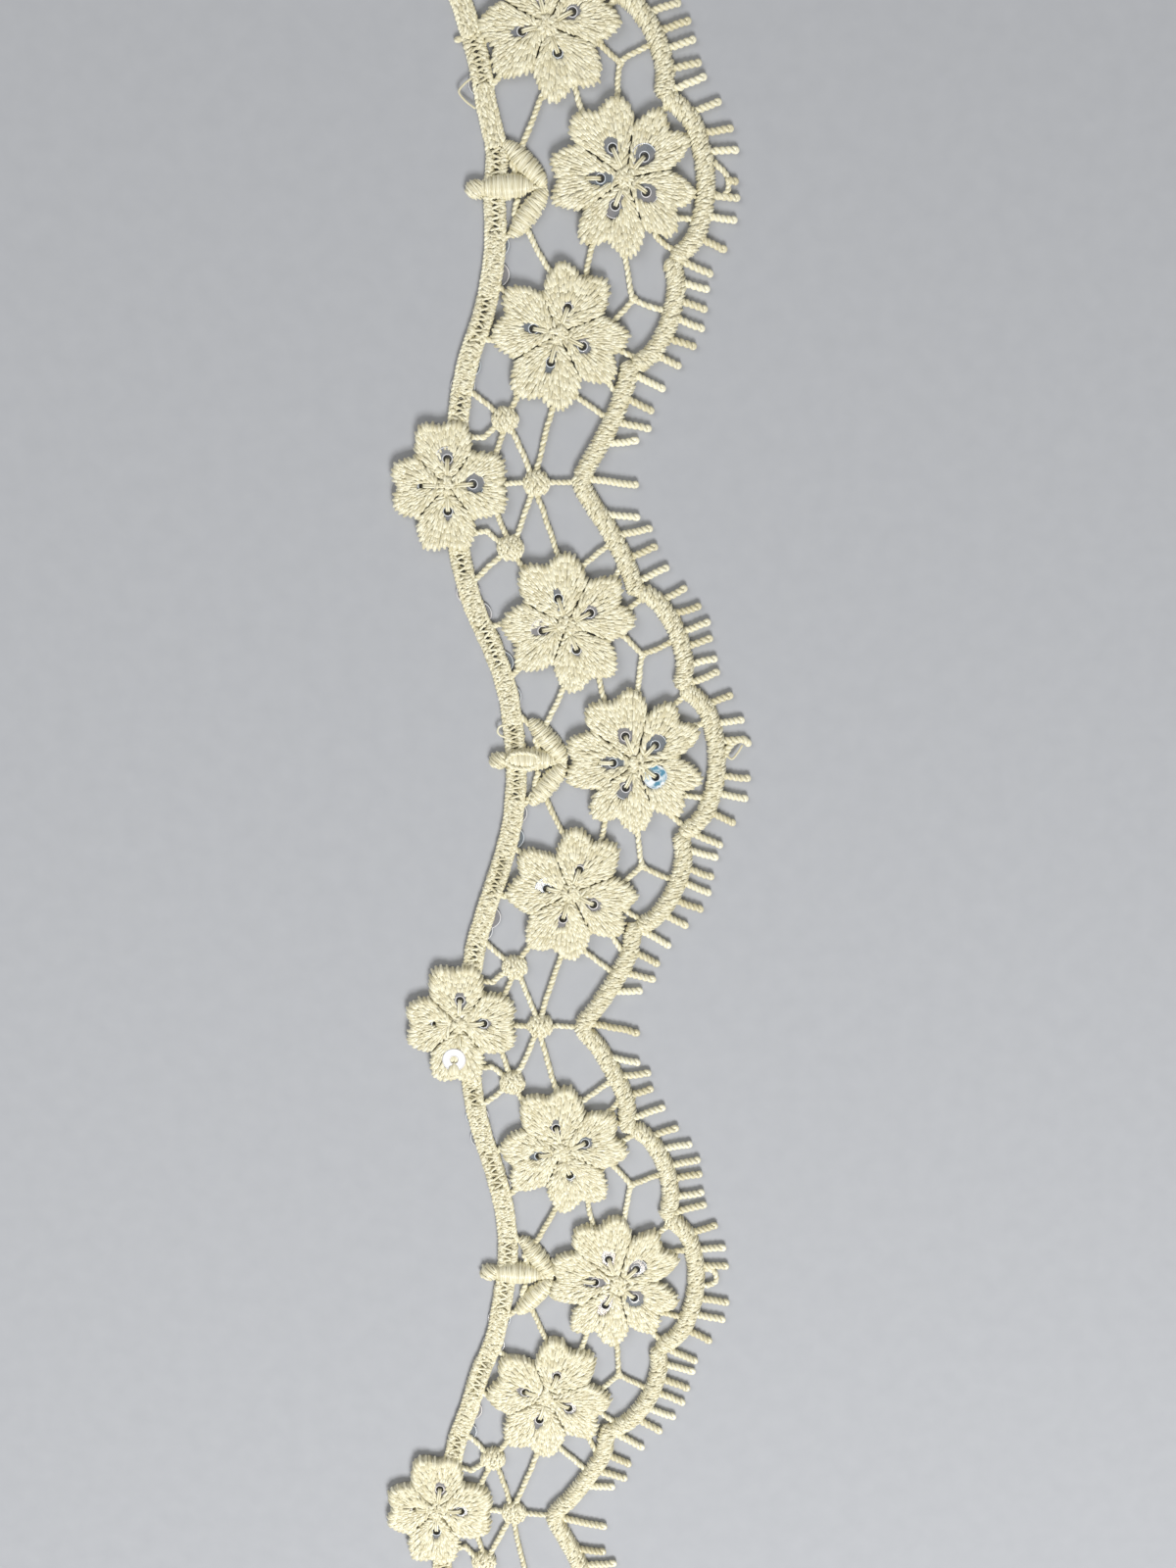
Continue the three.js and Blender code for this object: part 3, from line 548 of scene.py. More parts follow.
def lay_shift():
    """How far the arc was moved to put the part's box on the origin, found from where one sequin is."""
    key = petal_keys()[0]
    spot = bend(sequin_spot(*key)[None])[0]
    low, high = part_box(node_name(key))
    return np.array([spot[0] - (low.x + high.x) / 2, spot[1] - (low.y + high.y) / 2, 0])


def corners(values):
    """The values at the four corners of each face of grids."""
    faces = [values[:, :-1, :-1], values[:, :-1, 1:], values[:, 1:, 1:], values[:, 1:, :-1]]
    return np.stack(faces, -1).reshape(-1, 4)


class Mesh:
    """Gathers grids of points. Faces look up where rows run ahead and columns to the right."""

    def __init__(self):
        self.points = []
        self.quads = []
        self.strands = []
        self.cells = []
        self.shades = []
        self.count = 0
        self.grids = 0

    def add(self, grids, wrap_rows=False, wrap_columns=False):
        """Adds grids of shape (count, rows, columns, 3), in the straight strip."""
        number, rows, columns = grids.shape[:3]
        index = np.arange(number * rows * columns).reshape(number, rows, columns) + self.count
        steps = lengths(np.diff(grids.mean(axis=2), axis=1))
        along = np.concatenate([np.zeros((number, 1)), np.cumsum(steps, axis=1)], axis=1)
        if wrap_rows:
            index = np.concatenate([index, index[:, :1]], axis=1)
            along = np.concatenate([along, along[:, -1:] + 1], axis=1)
        if wrap_columns:
            index = np.concatenate([index, index[:, :, :1]], axis=2)
        shape = index.shape
        around = np.broadcast_to(np.linspace(0, 1, shape[2]), shape)
        ahead = np.broadcast_to(np.linspace(0, 1, shape[1])[:, None], shape)
        along = np.broadcast_to(along[..., None], shape)
        numbers = np.arange(number) + self.grids
        grid = np.broadcast_to(numbers[:, None, None], shape)
        self.quads.append(corners(index))
        self.strands.append(np.stack([corners(along), corners(around)], -1))
        self.cells.append(np.stack([corners(grid), corners(ahead), corners(around)], -1))
        self.points.append(grids.reshape(-1, 3))
        self.shades.append(np.repeat(numbers * GOLDEN % 1, rows * columns))
        self.count += number * rows * columns
        self.grids += number

    def piece(self, name, material):
        mesh = bpy.data.meshes.new(name)
        points = lay(np.concatenate(self.points))
        mesh.from_pydata(points.tolist(), [], np.concatenate(self.quads).tolist())
        mesh.polygons.foreach_set("use_smooth", np.ones(len(mesh.polygons), bool))
        self.add_map(mesh, STRAND_MAP, np.concatenate(self.strands))
        self.add_map(mesh, ATLAS_MAP, self.atlas())
        shade = mesh.attributes.new(SHADE, "FLOAT", "POINT")
        shade.data.foreach_set("value", np.concatenate(self.shades).astype(np.float32))
        mesh.materials.append(material)
        return add_object(name, mesh)

    def atlas(self):
        """A map with a square of its own for each grid."""
        grid, ahead, around = np.moveaxis(np.concatenate(self.cells), -1, 0)
        side = math.ceil(math.sqrt(self.grids))
        share = 1 - 2 * ATLAS_MARGIN
        u = (grid % side + ATLAS_MARGIN + share * ahead) / side
        v = (grid // side + ATLAS_MARGIN + share * around) / side
        return np.stack([u, v], -1)

    @staticmethod
    def add_map(mesh, name, places):
        layer = mesh.uv_layers.new(name=name)
        layer.uv.foreach_set("vector", places.astype(np.float32).ravel())


def frames(lines):
    """The way across and the way up from each point of lines of shape (..., points, 3)."""
    ahead = unit(np.gradient(lines, axis=-2))
    across = unit(np.cross(ahead, [0, 0, 1.0]))
    return across, np.cross(across, ahead)


def sweep(lines, radius, arc, flat=1):
    """Grids of round sections along lines of shape (count, points, 3), with one radius for each point."""
    across, up = frames(lines)
    radius = np.asarray(radius)[..., None, None]
    sides = across[..., None, :] * np.sin(arc)[:, None] + up[..., None, :] * np.cos(arc)[:, None] * flat
    return lines[..., None, :] + sides * radius


def tube(mesh, line, radius):
    """A round strand along a line, with one radius or one for each point, which closes at its ends."""
    arc = np.linspace(0, FULL_TURN, ROPE_SIDES, endpoint=False)
    radii = np.broadcast_to(radius, len(line))
    radii = np.concatenate([radii[:1] * ROPE_CAP, radii, radii[-1:] * ROPE_CAP])
    line = np.concatenate([line[:1], line, line[-1:]])
    line[0] -= unit(line[2] - line[1]) * radii[1] / 2
    line[-1] += unit(line[-2] - line[-3]) * radii[-2] / 2
    mesh.add(sweep(line[None], radii[None], arc), wrap_columns=True)


def turned(line, offset, turn, phase):
    """A line that winds around another one, once for each length turn."""
    angle = (phase + FULL_TURN * run_along(line) / turn)[:, None]
    across, up = frames(line)
    return line + offset * (across * np.sin(angle) + up * np.cos(angle))


def lathe(mesh, spot, profile, sides, ring, tilt=(0, 0)):
    """A body turned about an upright axis from radii and heights, which go round to the left."""
    angle = -np.linspace(0, FULL_TURN, sides, endpoint=False)
    rows = []
    for radius, height in profile:
        x = radius * np.cos(angle)
        y = radius * np.sin(angle)
        rows.append(np.stack([spot[0] + x, spot[1] + y, height + tilt[0] * x + tilt[1] * y], 1))
    mesh.add(np.array(rows)[None], wrap_rows=ring, wrap_columns=True)


def stitch_lines(starts, ends, height, rng):
    """The middle lines of stitches between flat points, over a surface whose height is given."""
    t = STITCH_SHARES[:, None]
    side = right_of(unit(ends - starts))
    ends = ends + side * rng.normal(0, STITCH_SLEW, len(starts))[:, None]
    flat = starts[:, None] * (1 - t) + ends[:, None] * t
    sway = side * either_way(rng, STITCH_SWAY, len(starts))[:, None]
    flat = flat + sway[:, None] * np.sin(np.pi * t)
    return raised(flat, height(flat) + stitch_rise(len(starts), rng))


def stitch_rise(count, rng):
    """How far stitches stand off the surface along their length: they dip in at both ends."""
    t = np.linspace(-1, 1, STITCH_POINTS)
    return rng.uniform(*STITCH_LIFT, count)[:, None] - STITCH_DIP * t**DIP_POWER


def add_stitches(mesh, lines, radius, rng, taper=STITCH_TAPER):
    shares = 1 - taper * np.abs(np.linspace(-1, 1, STITCH_POINTS)) ** TAPER_POWER
    widths = radius * rng.uniform(1 - STITCH_UNEVEN, 1 + STITCH_UNEVEN, len(lines))[:, None] * shares
    mesh.add(sweep(lines, widths, STITCH_ARC, STITCH_FLAT))


def grains(start, stop, rng):
    """Cuts a stitch line into stitches, as pairs of distances along it."""
    count = max(1, round((stop - start) / GRAIN + either_way(rng, GRAIN_COUNT_UNEVEN)))
    cuts = np.linspace(start, stop, count + 1)
    cuts[1:-1] += either_way(rng, GRAIN_UNEVEN, count - 1) * GRAIN
    return [(a - GRAIN_LAP * (a > start), b + GRAIN_LAP * (b < stop)) for a, b in zip(cuts[:-1], cuts[1:])]


def spread(count, length, rng):
    """Distances along a length, about evenly apart."""
    return (np.arange(count) + 0.5 + either_way(rng, STITCH_SHIFT, count)) * length / count


def flower_spots(flower, local):
    """Points of a flower's own plan in the straight strip."""
    kind = KINDS[flower.kind]
    turn = math.radians(flower.turn)
    x = local[..., 0] * math.cos(turn) + local[..., 1] * math.sin(turn)
    y = local[..., 1] * math.cos(turn) - local[..., 0] * math.sin(turn)
    across = kind.w + flower.across + x
    along = flower.valley * PITCH + flower.side * (kind.u + flower.along + y)
    return np.stack([across, along, *np.moveaxis(local[..., 2:], -1, 0)], -1)


class PetalPlan:
    """One petal around its flower's middle: its outer edge, the slits beside it and its eyelet."""

    def __init__(self, flower, index):
        petals = KINDS[flower.kind].petals
        petal = petals[index]
        after = petals[(index + 1) % len(petals)]
        stop = after.start + (360 if after.start < petal.start else 0)
        self.edge = self.outline(petal, after, stop)
        self.slits = [self.slit(petal.start, petal.slit, 1), self.slit(stop, after.slit, -1)]
        opening = OPEN_EYELETS.get((flower.name, index), EYELETS[flower.kind])
        grown = 1 + EYELET_ROUGH * np.random.default_rng(SEED + index).uniform(-1, 1, 2)
        self.axis = polar(petal.eye, 1)
        self.side = right_of(self.axis)
        self.eye = polar(petal.eye, petal.eye_at + opening.out * petal.open)
        self.long = opening.long * petal.open * grown[0]
        self.wide = opening.wide * petal.open * grown[1]
        self.sequin = polar(petal.eye, petal.eye_at)
        self.ridge = 0 if (flower.name, index) in BRIGHT else RIDGE
        self.origin = polar(petal.eye, FAN_AT * petal.eye_at)

    @staticmethod
    def outline(petal, after, stop):
        """The outer edge, from the slit before the petal to the one after it."""
        half = (stop - petal.start) / 2
        angles = [petal.start]
        radii = [petal.slit]
        for side, rows, slit in ((-1, OUTLINE[::-1], petal.slit), (1, OUTLINE[1:], after.slit)):
            for row in rows:
                angles.append(petal.start + half * (1 + side * row.angle * petal.spread))
                fall = row.notch * (petal.reach - petal.notch) + row.slit * (petal.reach - slit)
                radii.append(petal.reach - fall)
        return smooth(polar(np.array([*angles, stop]), np.array([*radii, after.slit])), OUTLINE_STEP)

    @staticmethod
    def slit(angle, reach, side):
        """One side of the petal, from the hub outwards, which stands back where the slit opens."""
        radius = np.linspace(HUB_RADIUS, reach, SLIT_POINTS)
        back = SLIT_GAP * np.clip((radius - SLIT_FROM) / SLIT_OPENS, 0, 1)
        return polar(angle, radius) + side * back[:, None] * polar(angle + 90, 1)

    def in_eyelet(self, points):
        """Points as shares of the eyelet's two half axes."""
        away = points - self.eye
        return np.stack([away @ self.axis / self.long, away @ self.side / self.wide], -1)

    def leaves_eyelet(self, ways):
        """How far from the origin of the fan each way leaves the eyelet, or 0 where it misses it."""
        at = self.in_eyelet(self.origin)
        step = self.in_eyelet(self.origin + ways) - at
        a = (step**2).sum(-1)
        b = (step * at).sum(-1)
        inside = b**2 - a * ((at**2).sum() - 1)
        return np.where(inside > 0, np.maximum((-b + np.sqrt(np.maximum(inside, 0))) / a, 0), 0)

    def reach(self, points):
        """How far the outer edge is from the flower's middle, on the way to each point."""
        middle = np.arctan2(*self.axis)
        edge = wrapped(np.arctan2(self.edge[:, 0], self.edge[:, 1]) - middle)
        around = wrapped(np.arctan2(points[..., 0], points[..., 1]) - middle)
        return np.interp(around, edge, lengths(self.edge))

    def height(self, points):
        """The height of the stitched petal: rounded at its edge and slits, and lower around the eyelet."""
        outer = gap(points, self.edge)
        outer = np.where(lengths(points) > self.reach(points), -outer, outer)
        beyond = np.minimum(outer, 0) * EDGE_FALL
        at_edge = EDGE_LOW + (CROWN - EDGE_LOW) * dome(outer / EDGE_ROUND) + beyond
        slit = np.minimum(gap(points, self.slits[0]), gap(points, self.slits[1]))
        at_slit = SLIT_LOW + (CROWN - SLIT_LOW) * dome(slit / SLIT_ROUND)
        rim = (lengths(self.in_eyelet(points)) - 1) * self.wide
        at_rim = RIM_LOW + (CROWN - RIM_LOW) * dome(rim / RIM_ROUND)
        from_rim = (lengths(points - self.sequin) - SEQUIN_RADIUS) / RIDGE_WIDTH
        ridge = self.ridge * np.exp(-(from_rim**2))
        return np.minimum(np.minimum(at_edge, at_slit), at_rim) + ridge

    def stitch_ends(self, rng):
        """Where the stitch lines end, evenly apart as seen from the origin of the fan."""
        before, after = [slit[SLIT_BARE:] for slit in self.slits]
        line = np.concatenate([before, self.edge[1:-1], after[::-1]])
        step = np.diff(line, axis=0)
        way = unit((line[1:] + line[:-1]) / 2 - self.origin)
        run = np.concatenate([[0], np.cumsum(np.abs(step[:, 0] * way[:, 1] - step[:, 1] * way[:, 0]))])
        return along_line(line, run, spread(int(run[-1] / STITCH_PITCH), run[-1], rng))

    def stitches(self, rng):
        """The middle lines of the stitches, which crowd towards the eyelet, so some start further out."""
        ends = self.stitch_ends(rng)
        ways = unit(ends - self.origin)
        reaches = lengths(ends - self.origin)
        starts = []
        stops = []
        for i, (way, reach, rim) in enumerate(zip(ways, reaches, self.leaves_eyelet(ways))):
            share = FAN_STARTS[i % len(FAN_STARTS)] + either_way(rng, FAN_UNEVEN)
            first = max(rim + rng.uniform(*RIM_UNEVEN), reach * share)
            for a, b in grains(first, reach + rng.uniform(*EDGE_UNEVEN), rng):
                starts.append(self.origin + way * a)
                stops.append(self.origin + way * b)
        return stitch_lines(np.array(starts), np.array(stops), self.height, rng)

    def edge_lumps(self, rng):
        """The middle lines of the thick stitches that make the edge lumpy."""
        run = run_along(self.edge)
        count = round((run[-1] - 2 * LUMP_CLEAR) / LUMP_PITCH)
        at = np.linspace(LUMP_CLEAR, run[-1] - LUMP_CLEAR, count)
        ends = along_line(self.edge, run, at + either_way(rng, LUMP_SHIFT, count) * LUMP_PITCH)
        ways = unit(ends - self.origin)
        stops = ends + ways * rng.uniform(*LUMP_OVER, count)[:, None]
        starts = stops - ways * rng.uniform(*LUMP_LENGTH, count)[:, None]
        return stitch_lines(starts, stops, self.height, rng)

    def ground(self):
        """The closed body under the stitches, as rings around the eyelet."""
        rim = np.concatenate([self.slits[0], self.edge[1:-1], self.slits[1][::-1]])
        run = run_along(rim)
        rim = along_line(rim, run, np.linspace(0, run[-1], RIM_POINTS))
        rim = rim + unit(self.eye - rim) * GROUND_INSET
        inner = unit(self.in_eyelet(rim))
        inner = self.eye + inner[:, :1] * self.long * self.axis + inner[:, 1:] * self.wide * self.side
        shares = RADIAL_RINGS[:, None, None]
        flat = inner * (1 - shares) + rim * shares
        top = raised(flat, self.height(flat) - GROUND_DROP)
        under = top[[-1, 0]] * [1, 1, 0]
        return np.concatenate([top, under])


def petal_plans(flower):
    return [PetalPlan(flower, index) for index in range(len(KINDS[flower.kind].petals))]


def hub_height(points):
    return HUB_TOP - HUB_DROP * np.minimum(lengths(points), HUB_FAR[0]) ** 2


def hub_stitches(flower, rng):
    """Short stitches in all directions on the middle of a flower, and rays that go out from it."""
    petals = KINDS[flower.kind].petals
    starts = []
    stops = []
    rays = np.linspace(0, 360, HUB_RAYS, endpoint=False)
    for angle in rays + either_way(rng, HUB_RAY_UNEVEN, HUB_RAYS):
        near = min(abs((angle - petal.eye + 180) % 360 - 180) for petal in petals)
        reach = rng.uniform(*(HUB_NEAR if near < HUB_EYE else HUB_FAR))
        slew = either_way(rng, HUB_RAY_SLEW)
        starts.append(polar(angle + slew, reach - rng.uniform(*HUB_RAY_LENGTH)))
        stops.append(polar(angle, reach))
    for angle in rng.uniform(0, 360, HUB_STITCH_COUNT):
        middle = polar(rng.uniform(0, 360), HUB_STITCH_REACH * math.sqrt(rng.uniform(0, 1)))
        starts.append(middle - polar(angle, HUB_STITCH_LENGTH / 2))
        stops.append(middle + polar(angle, HUB_STITCH_LENGTH / 2))
    return stitch_lines(np.array(starts), np.array(stops), hub_height, rng)


def stamen_lines(flower, index):
    """Two strands side by side from the hub into a sequin's hole, or from the hole outwards in one petal."""
    petal = KINDS[flower.kind].petals[index]
    outwards = (flower.kind, index) == OUTWARD_STAMEN
    first = petal.eye_at + STAMEN_OUT if outwards else STAMEN_FROM
    t = np.linspace(0, 1, STAMEN_POINTS)
    radius = first + (petal.eye_at - first) * t
    height = np.interp(t, *STAMEN_RISE)
    lines = []
    for shift in (-STAMEN_APART, STAMEN_APART):
        flat = polar(petal.eye, 1) * radius[:, None] + polar(petal.eye + 90, 1) * shift
        lines.append(raised(flat, height))
    return lines


def add_rings(mesh, rings):
    """Adds a closed body of rings, turned so that its faces look outwards."""
    x, y = rings[-2].T[:2]
    turns_left = (x * np.roll(y, -1) - y * np.roll(x, -1)).sum() > 0
    grid = rings[:, ::-1] if turns_left else rings
    mesh.add(grid[None], wrap_rows=True, wrap_columns=True)


def add_flower_ground(mesh, flower):
    for plan in petal_plans(flower):
        add_rings(mesh, flower_spots(flower, plan.ground()))
    lathe(mesh, flower_spots(flower, np.zeros(2)), HUB_PROFILE, HUB_SIDES, False)


def add_flower_threads(mesh, flower, rng):
    for index, plan in enumerate(petal_plans(flower)):
        add_stitches(mesh, flower_spots(flower, plan.stitches(rng)), STITCH_RADIUS, rng)
        add_stitches(mesh, flower_spots(flower, plan.edge_lumps(rng)), LUMP_RADIUS, rng, LUMP_TAPER)
        for line in stamen_lines(flower, index):
            tube(mesh, flower_spots(flower, line), STAMEN_RADIUS)
    add_stitches(mesh, flower_spots(flower, hub_stitches(flower, rng)), STITCH_RADIUS, rng)


def find(valley, side):
    return next((half for half in HALVES if half[:2] == (valley, side)), None)


def holds(half, *us):
    return all(half.start <= u <= half.stop + END_SLACK for u in us)


def place(half, u, w):
    return np.array([w, half.valley * PITCH + half.side * u])


def span_on(half, span):
    return np.array([place(half, span.u, span.w), place(half, span.to_u, span.to_w)])


def path_on(half, rows):
    """A table's path on one half, cut where the half is cut."""
    strays = PATH_STRAYS.get(half[:2], PathStray())
    us = np.array([row.u for row in rows])
    ws = np.array([row.w + (getattr(strays, row.stray) if row.stray else 0) for row in rows])
    kept = [u for u in us if holds(half, u)]
    cuts = [cut for cut in (half.start, half.stop) if us[0] < cut < us[-1]]
    return [place(half, u, np.interp(u, us, ws)) for u in sorted({*kept, *cuts})]


def path_across(before, after, rows, meets_at_end):
    """The same path on the two halves that meet at a valley or a peak, joined there."""
    one = path_on(before, rows) if before else []
    other = path_on(after, rows) if after else []
    if meets_at_end:
        return [*one, *other[::-1][1 if one else 0:]]
    return [*one[::-1], *other[1 if one else 0:]]


def path_over_peak(peak, rows):
    return path_across(find(peak, 1), find(peak + 1, -1), rows, True)


class Column:
    """A column of stitches along a path: how wide and high it is at each place, and its stitches."""

    def __init__(self, path, shape):
        self.line = smooth(path, COLUMN_STEP)
        self.run = run_along(self.line)
        self.across = across_line(self.line)
        self.shape = shape

    def rounding(self, run):
        """From 0 at both ends to 1 where the column has its full size."""
        return dome(np.minimum(run, self.run[-1] - run) / self.shape.tip)

    def width(self, run):
        """Half the width, which rounds off at both ends."""
        return self.shape.half_width * np.maximum(self.rounding(run), TIP_WIDTH)

    def spot(self, run, side):
        flat = along_line(self.line, self.run, run)
        return flat + along_line(self.across, self.run, run) * np.asarray(side)[..., None]

    def height(self, run, side):
        width = self.width(run)
        share = np.minimum(np.abs(side) / width, 1)
        rise = (self.shape.top - COLUMN_LOW) * np.maximum(self.rounding(run), TIP_RISE)
        return COLUMN_LOW + rise * np.sqrt(1 - share**2) - np.maximum(np.abs(side) - width, 0)

    def ground(self, mesh):
        """The closed body under the stitches."""
        widths = np.maximum(self.width(self.run) - GROUND_INSET, GROUND_LEAST_WIDTH)
        sides = widths[:, None] * np.sin(COLUMN_SECTION)
        runs = np.repeat(self.run[:, None], len(COLUMN_SECTION), 1)
        tops = np.maximum(self.height(runs, sides) - GROUND_DROP, GROUND_LEAST_TOP)
        top = raised(self.spot(runs, sides), tops)
        low = top[:, [-1, 0]] * [1, 1, 0]
        rings = np.concatenate([top, low], 1)
        ends = np.repeat(rings[[0, -1]].mean(axis=1, keepdims=True), rings.shape[1], 1)
        mesh.add(np.concatenate([ends[:1], rings, ends[1:]])[None], wrap_columns=True)

    def rice(self, rng):
        """Both ends of short stitches all over the column, as distances along and across."""
        stitch = self.shape.stitch
        rows = max(2, round(2 * self.shape.half_width / RICE_ROW))
        count = int(self.run[-1] / RICE_STEP)
        size = (count, rows)
        runs = (np.arange(count) + 0.5)[:, None] + either_way(rng, RICE_RUN_UNEVEN, size)
        runs = runs * self.run[-1] / count
        shares = (2 * np.arange(rows) + 1 + either_way(rng, RICE_ROW_UNEVEN, size)) / rows - 1
        angle = np.radians(rng.uniform(*stitch.lean, size)) * rng.choice(stitch.sides, size)
        middle = np.stack([runs, shares * self.width(runs)], -1)
        step = np.stack([np.sin(angle), np.cos(angle)], -1) * RICE_LENGTH / 2
        return (middle - step).reshape(-1, 2), (middle + step).reshape(-1, 2)

    def satin(self, rng):
        """Both ends of stitches from edge to edge, as distances along and across."""
        count = int(self.run[-1] / STITCH_PITCH)
        runs = spread(count, self.run[-1], rng)
        half = self.width(runs) + STITCH_OVER
        shift = np.tan(np.radians(rng.uniform(*self.shape.stitch.lean, count))) * half
        return np.stack([runs - shift, -half], 1), np.stack([runs + shift, half], 1)

    def add_stitches(self, mesh, rng):
        is_satin = self.shape.stitch.kind == "satin"
        starts, stops = self.satin(rng) if is_satin else self.rice(rng)
        starts = self.kept(starts, rng)
        stops = self.kept(stops, rng)
        t = (SATIN_SHARES if is_satin else STITCH_SHARES)[:, None]
        runs, sides = np.moveaxis(starts[:, None] * (1 - t) + stops[:, None] * t, -1, 0)
        heights = self.height(runs, sides) + stitch_rise(len(starts), rng)
        add_stitches(mesh, raised(self.spot(runs, sides), heights), STITCH_RADIUS, rng)

    def kept(self, ends, rng):
        """Ends of stitches, moved to where they lie on the column or just over its edge."""
        runs = np.clip(ends[:, 0], 0, self.run[-1])
        reach = self.width(runs) + rng.uniform(0, STITCH_OVER, len(ends))
        return np.stack([runs, np.clip(ends[:, 1], -reach, reach)], 1)


def cord_columns():
    columns = []
    for valley in range(VALLEYS + 1):
        path = path_across(find(valley, -1), find(valley, 1), CORD_LOW, False)
        columns.append(Column(path, CORD_SHAPE))
    columns += [Column(path_over_peak(peak, CORD_HIGH), CORD_SHAPE) for peak in range(PEAKS)]
    columns += [Column(path_on(half, CORD_MIDDLE), MIDDLE_CORD_SHAPE) for half in PEAK_HALVES]
    return columns


def tab_columns(span, shape):
    return [Column(span_on(Half(peak, 1), span), shape) for peak in range(PEAKS)]


def knot_columns():
    spots = [(half, KNOT) for half in HALVES if holds(half, KNOT.u - KNOT_RADIUS, KNOT.u + KNOT_RADIUS)]
    spots += [(Half(valley, 1), VALLEY_KNOT) for valley in range(VALLEYS)]
    columns = []
    for half, row in spots:
        ends = [place(half, row.u, row.w + side * KNOT_RADIUS) for side in (-1, 1)]
        columns.append(Column(ends, KNOT_SHAPE))
    return columns


def foot_columns(spans, halves, shape=FOOT_SHAPE):
    """The foot's stretches on some halves, between two places u."""
    columns = []
    for half in halves:
        for low, high in spans:
            stretch = half._replace(start=max(half.start, low), stop=min(half.stop, high))
            if stretch.start < stretch.stop:
                columns.append(Column(path_on(stretch, FOOT), shape))
    return columns


def foot_bands(column):
    """The two bands of an open stretch of the foot."""
    middles = [np.full(len(column.run), side * FOOT_BAND) for side in (-1, 1)]
    return [Column(column.spot(column.run, middle), FOOT_BAND_SHAPE) for middle in middles]


class Columns:
    """All the columns of stitches. The foot is looser on the last half."""

    def __init__(self):
        self.cords = cord_columns()
        self.leaves = [Column(span_on(half, LEAF), LEAF_SHAPE) for half in PEAK_HALVES]
        self.panels = tab_columns(TAB_PANEL, TAB_SHAPE)
        self.tab_knobs = tab_columns(TAB_KNOB, TAB_KNOB_SHAPE)
        self.knots = knot_columns()
        self.dense_foot = foot_columns(FOOT_DENSE, HALVES[:-1])
        self.loose_foot = foot_columns(FOOT_DENSE, HALVES[-1:], LOOSE_FOOT_SHAPE)
        self.open_foot = foot_columns(FOOT_OPEN, HALVES)
        self.bands = [band for column in self.open_foot for band in foot_bands(column)]

    def with_ground(self):
        motifs = [*self.leaves, *self.panels, *self.tab_knobs, *self.knots]
        return [*self.cords, *motifs, *self.dense_foot, *self.loose_foot, *self.bands]


def wander(count, reach, ways, rng):
    """A slow random drift in one or more ways."""
    knots = max(WANDER_LEAST, count // WANDER_POINTS)
    at = np.linspace(0, knots - 1, count)
    drift = either_way(rng, reach, (knots, ways))
    return np.stack([np.interp(at, np.arange(knots), way) for way in drift.T], 1)


def add_rope(mesh, path, look, rng):
    """Two strands that wind around each other along a path, a little unevenly."""
    line = raised(smooth(path, ROPE_STEP), look.height)
    line[:, :2] += wander(len(line), ROPE_WANDER, 2, rng)
    phase = rng.uniform(0, FULL_TURN) + wander(len(line), ROPE_SLIP, 1, rng)[:, 0]
    for ply in (0, np.pi):
        radii = look.radius * (1 + wander(len(line), ROPE_UNEVEN, 1, rng)[:, 0])
        tube(mesh, turned(line, look.offset, look.turn, phase + ply), radii)


def bowed(start, stop, rng):
    """The middle of a span, a little to one side."""
    return (start + stop) / 2 + right_of(unit(stop - start)) * either_way(rng, BAR_BOW)


def on_halves(rows):
    """The rows of a table on each half that holds both of their ends."""
    return [(half, row) for half in HALVES for row in rows if holds(half, row.u, row.to_u)]


def bar_spans():
    rows = on_halves(BARS)
    rows += [(Half(valley, 1), row) for valley in range(VALLEYS) for row in VALLEY_BARS]
    rows += [(Half(peak, 1), row) for peak in range(PEAKS) for row in TAB_BARS]
    return [span_on(half, row) for half, row in rows]


def add_bars(mesh, rng):
    for start, stop in bar_spans():
        path = [start, bowed(start, stop, rng), stop]
        look = BAR_ROPE._replace(turn=BAR_ROPE.turn * rng.uniform(*BAR_TURN_UNEVEN))
        add_rope(mesh, path, look, rng)


def picot_ends(half, row, number):
    stray = PICOT_STRAYS.get(half[:2], PicotStray())
    to_u = row.to_u + stray.tip + PICOT_UNEVEN * uneven(number)
    to_w = row.to_w + stray.longer + PICOT_UNEVEN * uneven(number + 0.5)
    return place(half, row.u + stray.root, row.w), place(half, to_u, to_w)


def picot_spans():
    rows = on_halves(PICOTS)
    rows += [(Half(valley, -1), VALLEY_PICOT) for valley in range(VALLEYS)]
    return [picot_ends(half, row, number) for number, (half, row) in enumerate(rows)]


def add_picots(mesh, rng):
    for start, stop in picot_spans():
        root = start - unit(stop - start) * PICOT_SINK
        add_picot(mesh, [root, bowed(start, stop, rng), stop], rng)


def add_picot(mesh, path, rng):
    """A strand that runs out along a path, goes round a small loop and winds back around itself."""
    flat = smooth(path, ROPE_STEP)
    ahead = unit(flat[-1] - flat[-2])
    middle = flat[-1] - ahead * (KNOB + PICOT_ROPE.radius)
    flat = flat[(flat - middle) @ ahead < -KNOB / 2]
    line = raised(flat, PICOT_ROPE.height)
    line[:, :2] += wander(len(line), ROPE_WANDER, 2, rng)
    turn = PICOT_ROPE.turn * rng.uniform(*PICOT_TURN_UNEVEN)
    phase = np.pi / 2 - FULL_TURN * run_along(line)[-1] / turn
    out = turned(line, PICOT_ROPE.offset, turn, phase)
    back = turned(line, PICOT_ROPE.offset, turn, phase + np.pi)
    angle = KNOB_ARC[:, None]
    loop = middle + KNOB * (ahead * np.cos(angle) + right_of(ahead) * np.sin(angle))
    tube(mesh, np.concatenate([out, raised(loop, PICOT_ROPE.height), back[::-1]]), PICOT_ROPE.radius)


